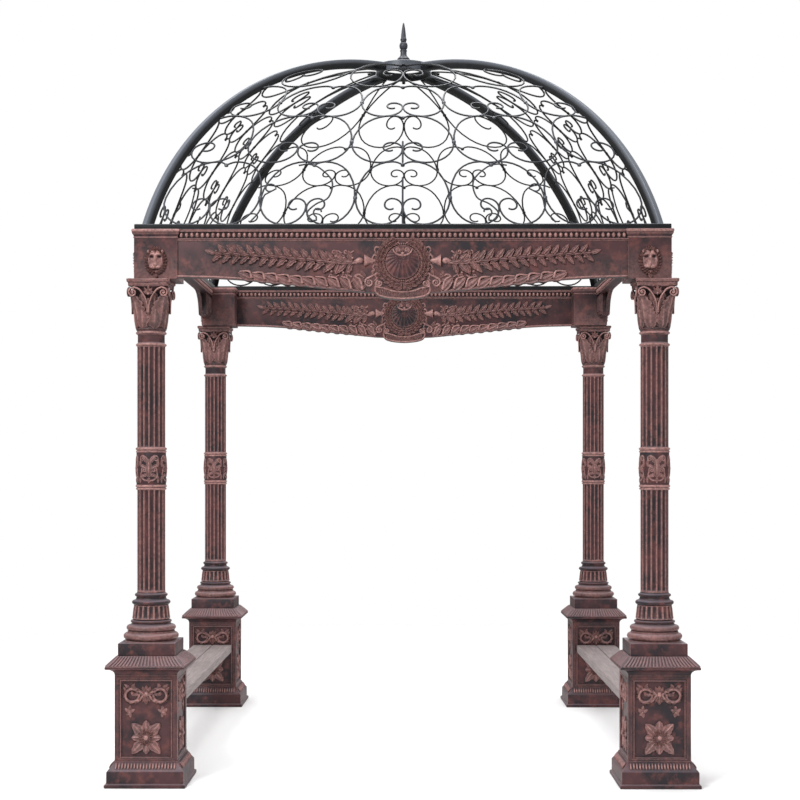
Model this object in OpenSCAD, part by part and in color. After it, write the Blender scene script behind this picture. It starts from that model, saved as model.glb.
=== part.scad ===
// Garden pavilion of cast metal: four fluted columns on relief pedestals carry
// four ornamented beams and an open dome of ribs and scrollwork.
// The front faces -Y, Z = 0 is the ground and the origin is the middle of the plan.

/* [Plan] */
// Distance between column axes, the same both ways
bay = 2600; // [2160:10:3120]
// How far a corner block sits inside its column axis
block_inset = 35; // [20:1:42]

/* [Pedestals] */
// Width of the lowest step of a pedestal
foot_w = 410; // [392:1:492]
// Width of the straight body of a pedestal
die_w = 318; // [290:1:340]
// Width of the projecting cap of a pedestal
cap_w = 404; // [360:1:480]
// Height from the ground to the top of the cap
pedestal_h = 659; // [550:1:790]
// Width of the panel sunk in each face
panel_w = 250; // [208:1:270]
// Depth of the sunk panels
panel_depth = 10; // [6:1:14]
// Width of the plinth block under a column
plinth_w = 290; // [284:1:300]
// Height of that plinth block
plinth_h = 66; // [55:1:80]

/* [Columns] */
// Radius of the fluted shaft
shaft_r = 72; // [64:1:82]
// Flutes round a shaft
shaft_flutes = 16; // [12:2:24]
// Radius of one flute
flute_r = 9; // [6:0.5:10]
// Height of the turned base with its short drum
base_h = 253; // [210:1:300]
// Height of the shaft with its bands
shaft_h = 1345; // [1120:5:1620]
// Height of a capital with its abacus
capital_h = 261; // [218:1:314]
// Width of the abacus from tip to tip
abacus_w = 230; // [216:1:260]

/* [Beams] */
// Width of a corner block
block_w = 222; // [190:1:262]
// Height of the corner blocks
block_h = 256; // [240:1:300]
// How far the cornice of a block projects
cornice_out = 12; // [8:1:16]
// Thickness of a beam
beam_t = 60; // [50:1:72]
// Depth of the front and back beams at their ends
beam_end_h = 245; // [224:1:252]
// How far their lower edge dips towards the middle
beam_dip = 85; // [66:1:104]
// How far the scroll in the middle hangs below that
lobe_drop = 29; // [20:1:34]
// Depth of the side beams between the haunches
side_rail_h = 55; // [46:1:70]
// Depth of the side beams at the corner blocks
side_end_h = 205; // [170:1:240]

/* [Seats] */
// Height of the seats above the ground
seat_h = 415; // [346:1:470]
// Thickness of the seat boards
seat_t = 50; // [40:1:60]
// Width of the seat boards
seat_w = 260; // [216:1:312]

/* [Dome] */
// Height of the flat rail that carries the dome
rail_h = 27; // [20:1:34]
// Width of that rail
rail_w = 75; // [66:1:90]
// Height of the dome from its rail to the top of the ribs
dome_rise = 1166; // [972:2:1400]
// Width of a rib
rib_w = 40; // [32:1:48]
// Depth of a rib
rib_d = 54; // [44:1:64]
// Outer radius of the crown ring
crown_r = 165; // [138:1:198]
// Thickness of the scroll bars
bar_t = 9; // [8:0.5:12]
// Height of the finial
finial_h = 265; // [221:1:318]

/* [Hidden] */

fine = 48;
skin = 0.3;
cast_colour = "#6b4747";
iron_colour = "#35373d";
wood_colour = "#6a5f58";

// Levels, from the ground up
base_z = pedestal_h + plinth_h;
shaft_z = base_z + base_h;
capital_z = shaft_z + shaft_h;
block_z = capital_z + capital_h;
beam_top = block_z + block_h;
dome_z = beam_top + rail_h;

// Plan of the beams: a block's inner and outer faces, from the middle of the plan
axis_x = bay / 2;
block_mid = axis_x - block_inset;
block_in = block_mid - block_w / 2;
block_out = block_mid + block_w / 2;
beam_out = block_out - 8;
rail_out = beam_out + 7;
lobe_half = 144;

// The dome is a quarter ellipse in each diagonal plane, and starts above its widest level
// The ribs stand near the middle of the rail
rib_foot_r = (rail_out - rail_w * 8 / 15) * sqrt(2);
rib_long = rib_foot_r * 1.0387;
rib_low = dome_rise * 0.372;
rib_high = dome_rise + rib_low;
rib_foot_angle = asin(rib_low / rib_high);

// One column stands at each corner: [name, x side, y side]
CORNERS = [["front_left", -1, -1], ["front_right", 1, -1], ["back_left", -1, 1], ["back_right", 1, 1]];
// The four sides as turns of the front one
SIDES = [["front", 0], ["right", 90], ["back", 180], ["left", 270]];

module at_corner(side_x, side_y) {
    translate([side_x * axis_x, side_y * axis_x, 0])
        children();
}

// A square block whose four faces all follow one outline, [half width, height] from the bottom up
module square_moulding(outline) {
    full = concat(outline, [for (i = [len(outline) - 1:-1:0]) [-outline[i][0], outline[i][1]]]);
    long = 3 * max([for (p = outline) p[0]]);
    intersection() {
        rotate([90, 0, 0])
            linear_extrude(long, center = true)
                polygon(full);
        rotate([90, 0, 90])
            linear_extrude(long, center = true)
                polygon(full);
    }
}

// Points of a quarter round between two places, bulging towards the bend point
function quarter(from, bend, to, steps = 4) =
    [for (i = [0:steps]) let(a = 90 * i / steps)
        [to[0] + (from[0] - to[0]) * (bend[0] == from[0] ? cos(a) : 1 - sin(a)),
         from[1] + (to[1] - from[1]) * (bend[0] == from[0] ? sin(a) : 1 - cos(a))]];

// Points of a half round on the outside of a turned piece, centred at [r, z]
function bead(r, z, size, steps = 6) =
    [for (i = [0:steps]) let(a = -90 + 180 * i / steps) [r + size * cos(a), z + size * sin(a)]];

module pedestal() {
    neck = die_w / 2;
    foot_top = 131;
    cap_low = pedestal_h - 94;
    color(cast_colour)
        difference() {
            union() {
                square_moulding(concat(
                    [[foot_w / 2, 0], [foot_w / 2, 12], [foot_w / 2 - 10, 20], [foot_w / 2 - 10, 85]],
                    quarter([foot_w / 2 - 12, 88], [foot_w / 2 - 12, foot_top], [neck + 3, foot_top]),
                    [[neck, foot_top + 4], [neck, cap_low]],
                    quarter([neck + 2, cap_low + 2], [neck + 2, pedestal_h - 60],
                            [cap_w / 2 - 4, pedestal_h - 60]),
                    [[cap_w / 2, pedestal_h - 58], [cap_w / 2, pedestal_h - 47]],
                    quarter([cap_w / 2 - 4, pedestal_h - 45], [cap_w / 2 - 4, pedestal_h],
                            [plinth_w / 2 + 8, pedestal_h])));
                translate([-plinth_w / 2, -plinth_w / 2, pedestal_h - 1])
                    cube([plinth_w, plinth_w, plinth_h + 1]);
            }
            for (side = SIDES)
                rotate([0, 0, side[1]])
                    translate([-panel_w / 2, -neck - 1, foot_top + 20])
                        cube([panel_w, panel_depth + 1, cap_low - foot_top - 50]);
        }
}

module column_base() {
    drum_z = base_h * 0.395;
    color(cast_colour)
        translate([0, 0, base_z])
            difference() {
                rotate_extrude($fn = fine)
                    polygon(concat(
                        [[0, 0]],
                        bead(plinth_w / 2 - 25, 22, 22),
                        bead(plinth_w / 2 - 36, 67, 21),
                        bead(plinth_w / 2 - 46, drum_z - 8, 8, 4),
                        [[shaft_r + 25, drum_z], [shaft_r + 16, base_h * 0.71]],
                        bead(shaft_r + 14, base_h * 0.798, 13, 4),
                        bead(shaft_r + 4, base_h * 0.92, 7, 4),
                        [[shaft_r, base_h], [0, base_h]]));
                for (i = [0:19])
                    rotate([0, 0, 18 * i])
                        translate([shaft_r + 24, 0, drum_z + 4])
                            rotate([0, -5, 0])
                                cylinder(h = base_h * 0.27, r = 6, $fn = 16);
            }
}

module fluted_drum(height) {
    linear_extrude(height)
        difference() {
            circle(r = shaft_r, $fn = fine);
            for (i = [0:shaft_flutes - 1])
                rotate([0, 0, 360 * i / shaft_flutes])
                    translate([shaft_r + flute_r * 0.35, 0])
                        circle(r = flute_r, $fn = 16);
        }
}

module column_shaft() {
    low_h = shaft_h * 0.39;
    band_h = shaft_h * 0.163;
    top_h = shaft_h * 0.066;
    high_h = shaft_h - low_h - band_h - top_h;
    ring = 8;
    color(cast_colour)
        translate([0, 0, shaft_z]) {
            fluted_drum(low_h);
            translate([0, 0, low_h])
                rotate_extrude($fn = fine)
                    polygon(concat(
                        [[0, 0]],
                        bead(shaft_r, ring, ring),
                        bead(shaft_r, 3 * ring, ring),
                        [[shaft_r + 3, 4 * ring + 2], [shaft_r + 6, band_h / 2],
                         [shaft_r + 3, band_h - 4 * ring - 2]],
                        bead(shaft_r, band_h - 3 * ring, ring),
                        bead(shaft_r, band_h - ring, ring),
                        [[0, band_h]]));
            translate([0, 0, low_h + band_h])
                fluted_drum(high_h);
            translate([0, 0, low_h + band_h + high_h])
                rotate_extrude($fn = fine)
                    polygon(concat(
                        [[0, 0], [shaft_r, 0]],
                        bead(shaft_r - 1, 20, 7),
                        [[shaft_r - 3, 30], [shaft_r - 3, top_h - 22]],
                        bead(shaft_r, top_h - 12, 9),
                        [[shaft_r - 2, top_h], [0, top_h]]));
        }
}

// One leaf that climbs the bell and curls out at its tip
module leaf(low_r, height, curl, sweep) {
    rotate([0, 0, -sweep / 2])
        rotate_extrude(angle = sweep, $fn = fine)
            polygon([[low_r - 6, 0], [low_r + 7, 0], [low_r + 9, height * 0.55],
                     [low_r + curl * 0.6, height * 0.82], [low_r + curl, height * 0.8],
                     [low_r + curl * 1.1, height * 0.9], [low_r + curl * 0.7, height],
                     [low_r + 4, height * 0.9], [low_r - 6, height * 0.6]]);
}

module capital() {
    abacus_h = capital_h * 0.2;
    bell_h = capital_h - abacus_h;
    hollow_r = abacus_w * 1.1;
    color(cast_colour)
        translate([0, 0, capital_z]) {
            rotate_extrude($fn = fine)
                polygon([[0, 0], [shaft_r - 2, 0], [shaft_r, bell_h * 0.1], [shaft_r - 2, bell_h * 0.55],
                         [shaft_r + 8, bell_h * 0.85], [shaft_r + 20, bell_h], [0, bell_h]]);
            for (i = [0:7]) {
                rotate([0, 0, 45 * i])
                    leaf(shaft_r - 1, bell_h * 0.46, 24, 36);
                rotate([0, 0, 45 * i + 22.5])
                    leaf(shaft_r - 3, bell_h * 0.74, 30, 30);
            }
            for (i = [0:3])
                rotate([0, 0, 45 + 90 * i])
                    translate([abacus_w * 0.47, 0, bell_h - 21])
                        rotate([90, 0, 0])
                            cylinder(h = 30, r = 21, center = true, $fn = 24);
            translate([0, 0, bell_h])
                linear_extrude(abacus_h)
                    difference() {
                        square(abacus_w, center = true);
                        for (i = [0:3])
                            rotate([0, 0, 90 * i])
                                translate([0, abacus_w / 2 + hollow_r - 14])
                                    circle(r = hollow_r, $fn = 96);
                    }
        }
}

module corner_block(side_x, side_y) {
    cornice_h = 44;
    reach = cornice_out + block_w / 2;
    color(cast_colour)
        translate([side_x * block_mid, side_y * block_mid, block_z]) {
            translate([-block_w / 2, -block_w / 2, 0])
                cube([block_w, block_w, block_h]);
            for (step = [[cornice_h, 4], [cornice_h - 15, cornice_out]])
                translate([side_x > 0 ? -block_w / 2 : -block_w / 2 - step[1],
                           side_y > 0 ? -block_w / 2 : -block_w / 2 - step[1],
                           block_h - step[0]])
                    cube([block_w + step[1], block_w + step[1], step[0]]);
        }
}

// A lion's head in relief, standing out of the plane y = 0 towards -Y
module lion_mask() {
    mane = 64;
    face = 45;
    rotate([90, 0, 0]) {
        rotate_extrude($fn = fine)
            polygon([[0, 0], [mane, 0], [mane + 2, 6], [mane - 8, 13], [face, 17], [0, 17]]);
        translate([0, -6, 12])
            rotate_extrude($fn = fine)
                polygon([[0, 0], [face, 0], [face - 4, 8], [face - 18, 15], [0, 17]]);
        translate([0, -22, 20])
            rotate_extrude($fn = 32)
                polygon([[0, 0], [24, 0], [22, 8], [12, 14], [0, 16]]);
        translate([0, -74, 0])
            cylinder(h = 14, r = 14, $fn = 32);
    }
}

module lion_masks(side_x, side_y) {
    height = block_z + block_h * 0.36;
    color(cast_colour) {
        translate([side_x * block_mid, side_y * (block_out + skin), height])
            rotate([0, 0, side_y > 0 ? 180 : 0])
                lion_mask();
        translate([side_x * (block_out + skin), side_y * block_mid, height])
            rotate([0, 0, side_x > 0 ? 90 : -90])
                lion_mask();
    }
}

// Lower edge of a deep beam, below the level of its ends, at a distance from the middle
function dip(x, flat) =
    beam_dip * (1 - pow(abs(x) / flat, 1.6)) + lobe_drop * sqrt(max(0, 1 - pow(x / lobe_half, 2)));

module deep_beam() {
    steps = 8;
    end = block_in - skin;
    flat = end * 0.78;
    bend = [for (i = [0:steps]) lobe_half + (flat - lobe_half) * i / steps];
    lobe = [for (i = [1 - steps / 2:steps / 2 - 1]) lobe_half * 2 * i / steps];
    places = concat([for (i = [steps:-1:0]) -bend[i]], lobe, bend);
    lower = [for (x = places) [x, beam_top - beam_end_h - dip(x, flat)]];
    mid = beam_top - beam_end_h + 73;
    color(cast_colour) {
        translate([0, beam_t - beam_out, 0])
            rotate([90, 0, 0]) {
                linear_extrude(beam_t)
                    polygon(concat([[-end, beam_top], [-end, beam_top - beam_end_h]], lower,
                                   [[end, beam_top - beam_end_h], [end, beam_top]]));
                for (moulding = [[15, 0, 6], [14, 47, 5]])
                    translate([-end, beam_top - moulding[0] - moulding[1], beam_t])
                        cube([2 * end, moulding[0], moulding[2]]);
                translate([0, 0, beam_t])
                    cartouche(mid);
                mirror([0, 0, 1])
                    cartouche(mid);
            }
    }
}

// The wreath and shell in the middle of a deep beam
module cartouche(level) {
    translate([0, level, 0]) {
        rotate_extrude($fn = fine)
            polygon([[0, 0], [89, 0], [86, 6], [60, 9], [0, 11]]);
        rotate_extrude($fn = fine)
            translate([102, 0])
                intersection() {
                    circle(r = 12, $fn = 24);
                    translate([-12, 0])
                        square([24, 12]);
                }
    }
}

module side_beam() {
    steps = 8;
    end = block_in - skin;
    knee = end * 0.856;
    crest = end * 0.653;
    rise = side_end_h - side_rail_h;
    haunch = [for (i = [0:steps]) let(a = 90 * i / steps)
        [knee - (knee - crest) * sin(a), beam_top - side_end_h + rise * (1 - cos(a))]];
    half = concat([[end, beam_top], [end, beam_top - side_end_h]], haunch);
    color(cast_colour)
        translate([0, beam_t - beam_out, 0])
            rotate([90, 0, 0]) {
                linear_extrude(beam_t)
                    polygon(concat(half, [for (i = [len(half) - 1:-1:0]) [-half[i][0], half[i][1]]]));
                for (moulding = [[15, 0, 6], [8, 47, 5]])
                    translate([-end, beam_top - moulding[0] - moulding[1], beam_t])
                        cube([2 * end, moulding[0], moulding[2]]);
            }
}

module seat(side_x) {
    length = bay - die_w - 2 * skin;
    color(wood_colour)
        translate([side_x * axis_x - seat_w / 2, -length / 2, seat_h - seat_t])
            cube([seat_w, length, seat_t]);
}

module dome_rail(full) {
    half = full ? rail_out : rail_out - rail_w - skin;
    color(iron_colour)
        translate([-half, -rail_out, beam_top])
            cube([2 * half, rail_w, rail_h]);
}

// Half width and height of the dome's outside at an angle above its widest level, in a diagonal plane
function rib_point(angle, inset = 0) =
    [(rib_long - inset) * cos(angle), dome_z - rib_low + (rib_high - inset) * sin(angle)];

module dome_rib(turn) {
    steps = 32;
    inner_r = crown_r;
    top_angle = acos(inner_r / rib_long);
    foot_in = asin(rib_low / (rib_high - rib_d));
    top_in = acos(inner_r / (rib_long - rib_d));
    outer = [for (i = [0:steps]) rib_point(rib_foot_angle + (top_angle - rib_foot_angle) * i / steps)];
    inner = [for (i = [steps:-1:0]) rib_point(foot_in + (top_in - foot_in) * i / steps, rib_d)];
    color(iron_colour)
        rotate([0, 0, turn])
            rotate([90, 0, 0])
                linear_extrude(rib_w, center = true)
                    polygon(concat(outer, inner));
}

// The scroll panels lie on the dome's faces, at the middle of the ribs' depth
vault_wide = (rib_long - rib_d / 2) / sqrt(2);
vault_high = rib_high - rib_d / 2;
function vault_half(angle) = vault_wide * cos(angle);
function vault_point(across, angle) =
    [across, -vault_wide * cos(angle), dome_z - rib_low + vault_high * sin(angle)];
function vault_normal(angle) = unit([0, -vault_high * cos(angle), vault_wide * sin(angle)]);
function unit(v) = v / norm(v);

// Level lines of the scroll rows, as angles, and the scrolls to each half row
vault_foot = asin((rib_low + bar_t * 0.61 + skin) / vault_high);
vault_top = acos((crown_r + 14) / vault_wide);
row_angle = [vault_foot, 29.9, 42.8, 54.5, vault_top];
row_scrolls = [5, 4, 4, 2];
side_gap = rib_w / sqrt(2) + bar_t + skin;

// A walk made of arcs: [radius, turn to the right, chords] from a start point and heading
function arc_end(p, heading, r, turn) =
    p + r * [sin(heading) - sin(heading - turn), cos(heading - turn) - cos(heading)];
function walk(p, heading, arcs, i = 0) =
    i >= len(arcs) ? [p] :
    concat([for (k = [0:arcs[i][2] - 1]) arc_end(p, heading, arcs[i][0], arcs[i][1] * k / arcs[i][2])],
           walk(arc_end(p, heading, arcs[i][0], arcs[i][1]), heading - arcs[i][1], arcs, i + 1));

// One C scroll in its own cell: a wide bow down the outside that winds into a curl at the foot
scroll_w = 242;
scroll_h = 384;
SCROLL = walk([0, 366], 45,
              [[80, 45, 1], [165, 60, 2], [300, 30, 1], [170, 45, 1], [125, 45, 1],
               [100, 90, 2], [52, 90, 1], [37, 100, 1]]);

// Where a cell's point lies on the vault; flip turns every second scroll over
function placed(p, row, cell, flip) =
    let(low = row_angle[row], high = row_angle[row + 1],
        angle = low + (high - low) * p[1] / scroll_h,
        reach = vault_half(angle) - side_gap,
        share = (cell + (flip ? 1 - p[0] / scroll_w : p[0] / scroll_w)) / row_scrolls[row])
    [reach * share, angle];

// A square bar swept along points of the vault
module bar(points) {
    count = len(points);
    centre = [for (p = points) vault_point(p[0], p[1])];
    along = [for (i = [0:count - 1]) unit(centre[min(i + 1, count - 1)] - centre[max(i - 1, 0)])];
    rings = [for (i = [0:count - 1])
        let(up = vault_normal(points[i][1]) * bar_t / 2, side = unit(cross(along[i], up)) * bar_t / 2)
        each [centre[i] + up + side, centre[i] + up - side, centre[i] - up - side, centre[i] - up + side]];
    last = 4 * (count - 1);
    polyhedron(rings, concat(
        [[3, 2, 1, 0], [last, last + 1, last + 2, last + 3]],
        [for (i = [0:count - 2]) for (k = [0:3]) let(a = 4 * i + k, b = 4 * i + (k + 1) % 4)
            [b, b + 4, a + 4, a]]));
}

// A collar that clips two bars together where they touch
module collar(across, angle) {
    place = vault_point(across, angle);
    slope = atan2(vault_wide * sin(angle), vault_high * cos(angle));
    translate(place)
        rotate([-slope, 0, 0])
            hull()
                cube([bar_t * 2.4, bar_t * 1.3, bar_t * 2], center = true);
}

module scroll_panel(turn) {
    color(iron_colour)
        rotate([0, 0, turn])
            for (side = [0, 1])
                mirror([side, 0, 0])
                    for (row = [0:3])
                        for (cell = [0:row_scrolls[row] - 1]) {
                            flip = cell % 2 == 1;
                            bar([for (p = SCROLL) placed(p, row, cell, flip)]);
                            touch = placed([scroll_w, 150], row, cell, false);
                            if (cell == 0)
                                collar(touch[0], touch[1]);
                        }
}

module crown_ring() {
    ring_t = 14;
    ring_h = 50;
    top = dome_z + dome_rise;
    arm_w = 30;
    arm_t = 12;
    color(iron_colour) {
        difference() {
            translate([0, 0, top - ring_h])
                cylinder(h = ring_h, r = crown_r - skin, $fn = 96);
            translate([0, 0, top - ring_h - 1])
                cylinder(h = ring_h + 2, r = crown_r - ring_t, $fn = 96);
        }
        for (turn = [0, 90])
            rotate([0, 0, turn])
                translate([-crown_r + 10, -arm_w / 2, top - arm_t])
                    cube([2 * crown_r - 20, arm_w, arm_t]);
        translate([0, 0, top - arm_t])
            cylinder(h = arm_t, r = 40, $fn = fine);
    }
}

module finial() {
    foot = dome_z + dome_rise;
    s = finial_h / 265;
    color(iron_colour)
        translate([0, 0, foot])
            rotate_extrude($fn = fine)
                polygon([[0, 0], [37, 0], [37, 5 * s], [30, 26 * s], [19, 44 * s], [18, 72 * s],
                         [24, 84 * s], [26, 98 * s], [24, 112 * s], [18, 124 * s], [16, 132 * s],
                         [20, 136 * s], [20, 142 * s], [18, 146 * s], [13, 190 * s], [5, 256 * s],
                         [3, 263 * s], [0, 265 * s]]);
}

for (corner = CORNERS) {
    place = corner[0];
    at_corner(corner[1], corner[2]) pedestal();
    at_corner(corner[1], corner[2]) column_base();
    at_corner(corner[1], corner[2]) column_shaft();
    at_corner(corner[1], corner[2]) capital();
    corner_block(corner[1], corner[2]);
    lion_masks(corner[1], corner[2]);
    dome_rib(atan2(corner[2], corner[1]));
}
for (side = SIDES) {
    deep = side[0] == "front" || side[0] == "back";
    rotate([0, 0, side[1]]) {
            if (deep) deep_beam();
            else side_beam();
        }
    rotate([0, 0, side[1]]) dome_rail(deep);
    scroll_panel(side[1]);
}
seat(-1);  // seat_left
seat(1);  // seat_right
crown_ring();
finial();
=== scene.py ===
"""Looks of the garden pavilion: cast ornament, patina, wrought scrollwork and a plain studio.

Every length is in millimetres until a piece becomes a mesh, and every place comes from the frame.
"""

import logging
import math
from collections.abc import Callable, Sequence
from dataclasses import dataclass, field
from enum import Enum

import bmesh
import bpy
import numpy as np
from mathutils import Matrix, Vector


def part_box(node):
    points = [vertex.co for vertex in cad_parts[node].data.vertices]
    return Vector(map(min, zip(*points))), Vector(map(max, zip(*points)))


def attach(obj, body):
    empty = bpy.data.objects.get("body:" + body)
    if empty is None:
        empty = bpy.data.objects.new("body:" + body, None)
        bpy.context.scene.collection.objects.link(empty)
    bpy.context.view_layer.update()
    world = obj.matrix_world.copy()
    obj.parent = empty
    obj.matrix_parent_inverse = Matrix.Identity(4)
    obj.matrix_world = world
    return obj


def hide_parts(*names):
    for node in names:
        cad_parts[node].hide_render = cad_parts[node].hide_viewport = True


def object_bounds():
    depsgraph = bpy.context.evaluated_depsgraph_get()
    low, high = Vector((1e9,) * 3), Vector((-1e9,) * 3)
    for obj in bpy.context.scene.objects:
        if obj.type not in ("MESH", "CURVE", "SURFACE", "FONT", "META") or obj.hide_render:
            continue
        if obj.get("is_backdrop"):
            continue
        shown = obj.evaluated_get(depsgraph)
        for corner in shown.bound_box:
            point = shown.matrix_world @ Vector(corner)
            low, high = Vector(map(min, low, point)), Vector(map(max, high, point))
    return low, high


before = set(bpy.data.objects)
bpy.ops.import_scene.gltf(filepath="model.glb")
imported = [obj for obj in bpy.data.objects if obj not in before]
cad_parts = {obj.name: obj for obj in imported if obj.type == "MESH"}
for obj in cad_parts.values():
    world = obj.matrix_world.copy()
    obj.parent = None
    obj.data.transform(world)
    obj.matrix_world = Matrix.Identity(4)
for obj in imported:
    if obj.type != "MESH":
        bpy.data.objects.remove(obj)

MM = 0.001
BODY = "root"
CORNERS = {"front_left": (-1, -1), "front_right": (1, -1), "back_left": (-1, 1), "back_right": (1, 1)}
SIDES = {"front": 0, "right": 90, "back": 180, "left": 270}
Place = Callable[[np.ndarray], np.ndarray]
log = logging.getLogger("pavilion")


class Slot(Enum):
    """The record's material slots."""

    CAST = "cast_body"
    IRON = "dome_iron"
    BOARD = "seat_board"


# ---------------------------------------------------------------- places and paths


def span(node: str) -> tuple[np.ndarray, np.ndarray]:
    """Lowest and highest corner of a node of the frame.

    Args:
        node: the node's name.

    Returns:
        The two corners in millimetres.
    """
    low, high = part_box(node)
    return np.array(low) / MM, np.array(high) / MM


def turned(angle: float) -> Place:
    """A turn about the upright axis.

    Args:
        angle: degrees, anticlockwise from above.

    Returns:
        The place function.
    """
    c, s = math.cos(math.radians(angle)), math.sin(math.radians(angle))
    spin = np.array([[c, -s, 0], [s, c, 0], [0, 0, 1]])
    return lambda p: p @ spin.T


def moved(x: float, y: float, z: float) -> Place:
    """A shift by x, y and z."""
    return lambda p: p + np.array([x, y, z])


def wall(distance: float, angle: float = 0.0, level: float = 0.0) -> Place:
    """Stands a flat board up on one side of the plan.

    Args:
        distance: from the upright axis to the board's face.
        angle: degrees that the side is turned from the front.
        level: height of the board's y = 0.

    Returns:
        A function from board places (right, up, proud) to standing ones.
    """
    spin = turned(angle)
    return lambda p: spin(np.stack([p[:, 0], -distance - p[:, 2], p[:, 1] + level], axis=1))


def wrapped(radius: float, level: float = 0.0, angle: float = 0.0) -> Place:
    """Bends a flat board round an upright drum.

    Args:
        radius: of the drum.
        level: height of the board's y = 0.
        angle: degrees from the front at which the board's x = 0 lies.

    Returns:
        A function from board places to places on the drum.
    """
    spin = turned(angle)

    def bend(p: np.ndarray) -> np.ndarray:
        """Board places p on the drum."""
        a = p[:, 0] / radius
        r = radius + p[:, 2]
        return spin(np.stack([r * np.sin(a), -r * np.cos(a), p[:, 1] + level], axis=1))

    return bend


def then(*steps: Place) -> Place:
    """Several place functions one after the other.

    Args:
        steps: the functions, first one first.

    Returns:
        The function that applies them all.
    """

    def run(p: np.ndarray) -> np.ndarray:
        """Places p after every step."""
        for step in steps:
            p = step(p)
        return p

    return run


def mirrored(p: np.ndarray) -> np.ndarray:
    """Places p mirrored left to right."""
    return p * np.array([-1, 1, 1])


def walk(start: Sequence[float], heading: float, arcs: Sequence[tuple[float, float]],
         step: float = 12.0) -> np.ndarray:
    """A path made of arcs, each starting where the last one ends and in its direction.

    Args:
        start: first point, x and y.
        heading: degrees, anticlockwise from +x.
        arcs: radius and turn of each; the turn is in degrees to the right, or to the left if negative.
        step: largest turn between two points.

    Returns:
        The points, one row each.
    """
    p = np.array(start, float)
    points = [p.copy()]
    for radius, turn in arcs:
        count = max(1, math.ceil(abs(turn) / step))
        side = 1 if turn > 0 else -1
        for _ in range(count):
            a, b = math.radians(heading), math.radians(heading - turn / count)
            p = p + side * radius * np.array([math.sin(a) - math.sin(b), math.cos(b) - math.cos(a)])
            points.append(p.copy())
            heading -= turn / count
    return np.array(points)


def unit(v: np.ndarray) -> np.ndarray:
    """Rows of v at length one."""
    return v / np.maximum(np.linalg.norm(v, axis=-1, keepdims=True), 1e-9)


# ---------------------------------------------------------------- modelling


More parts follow.
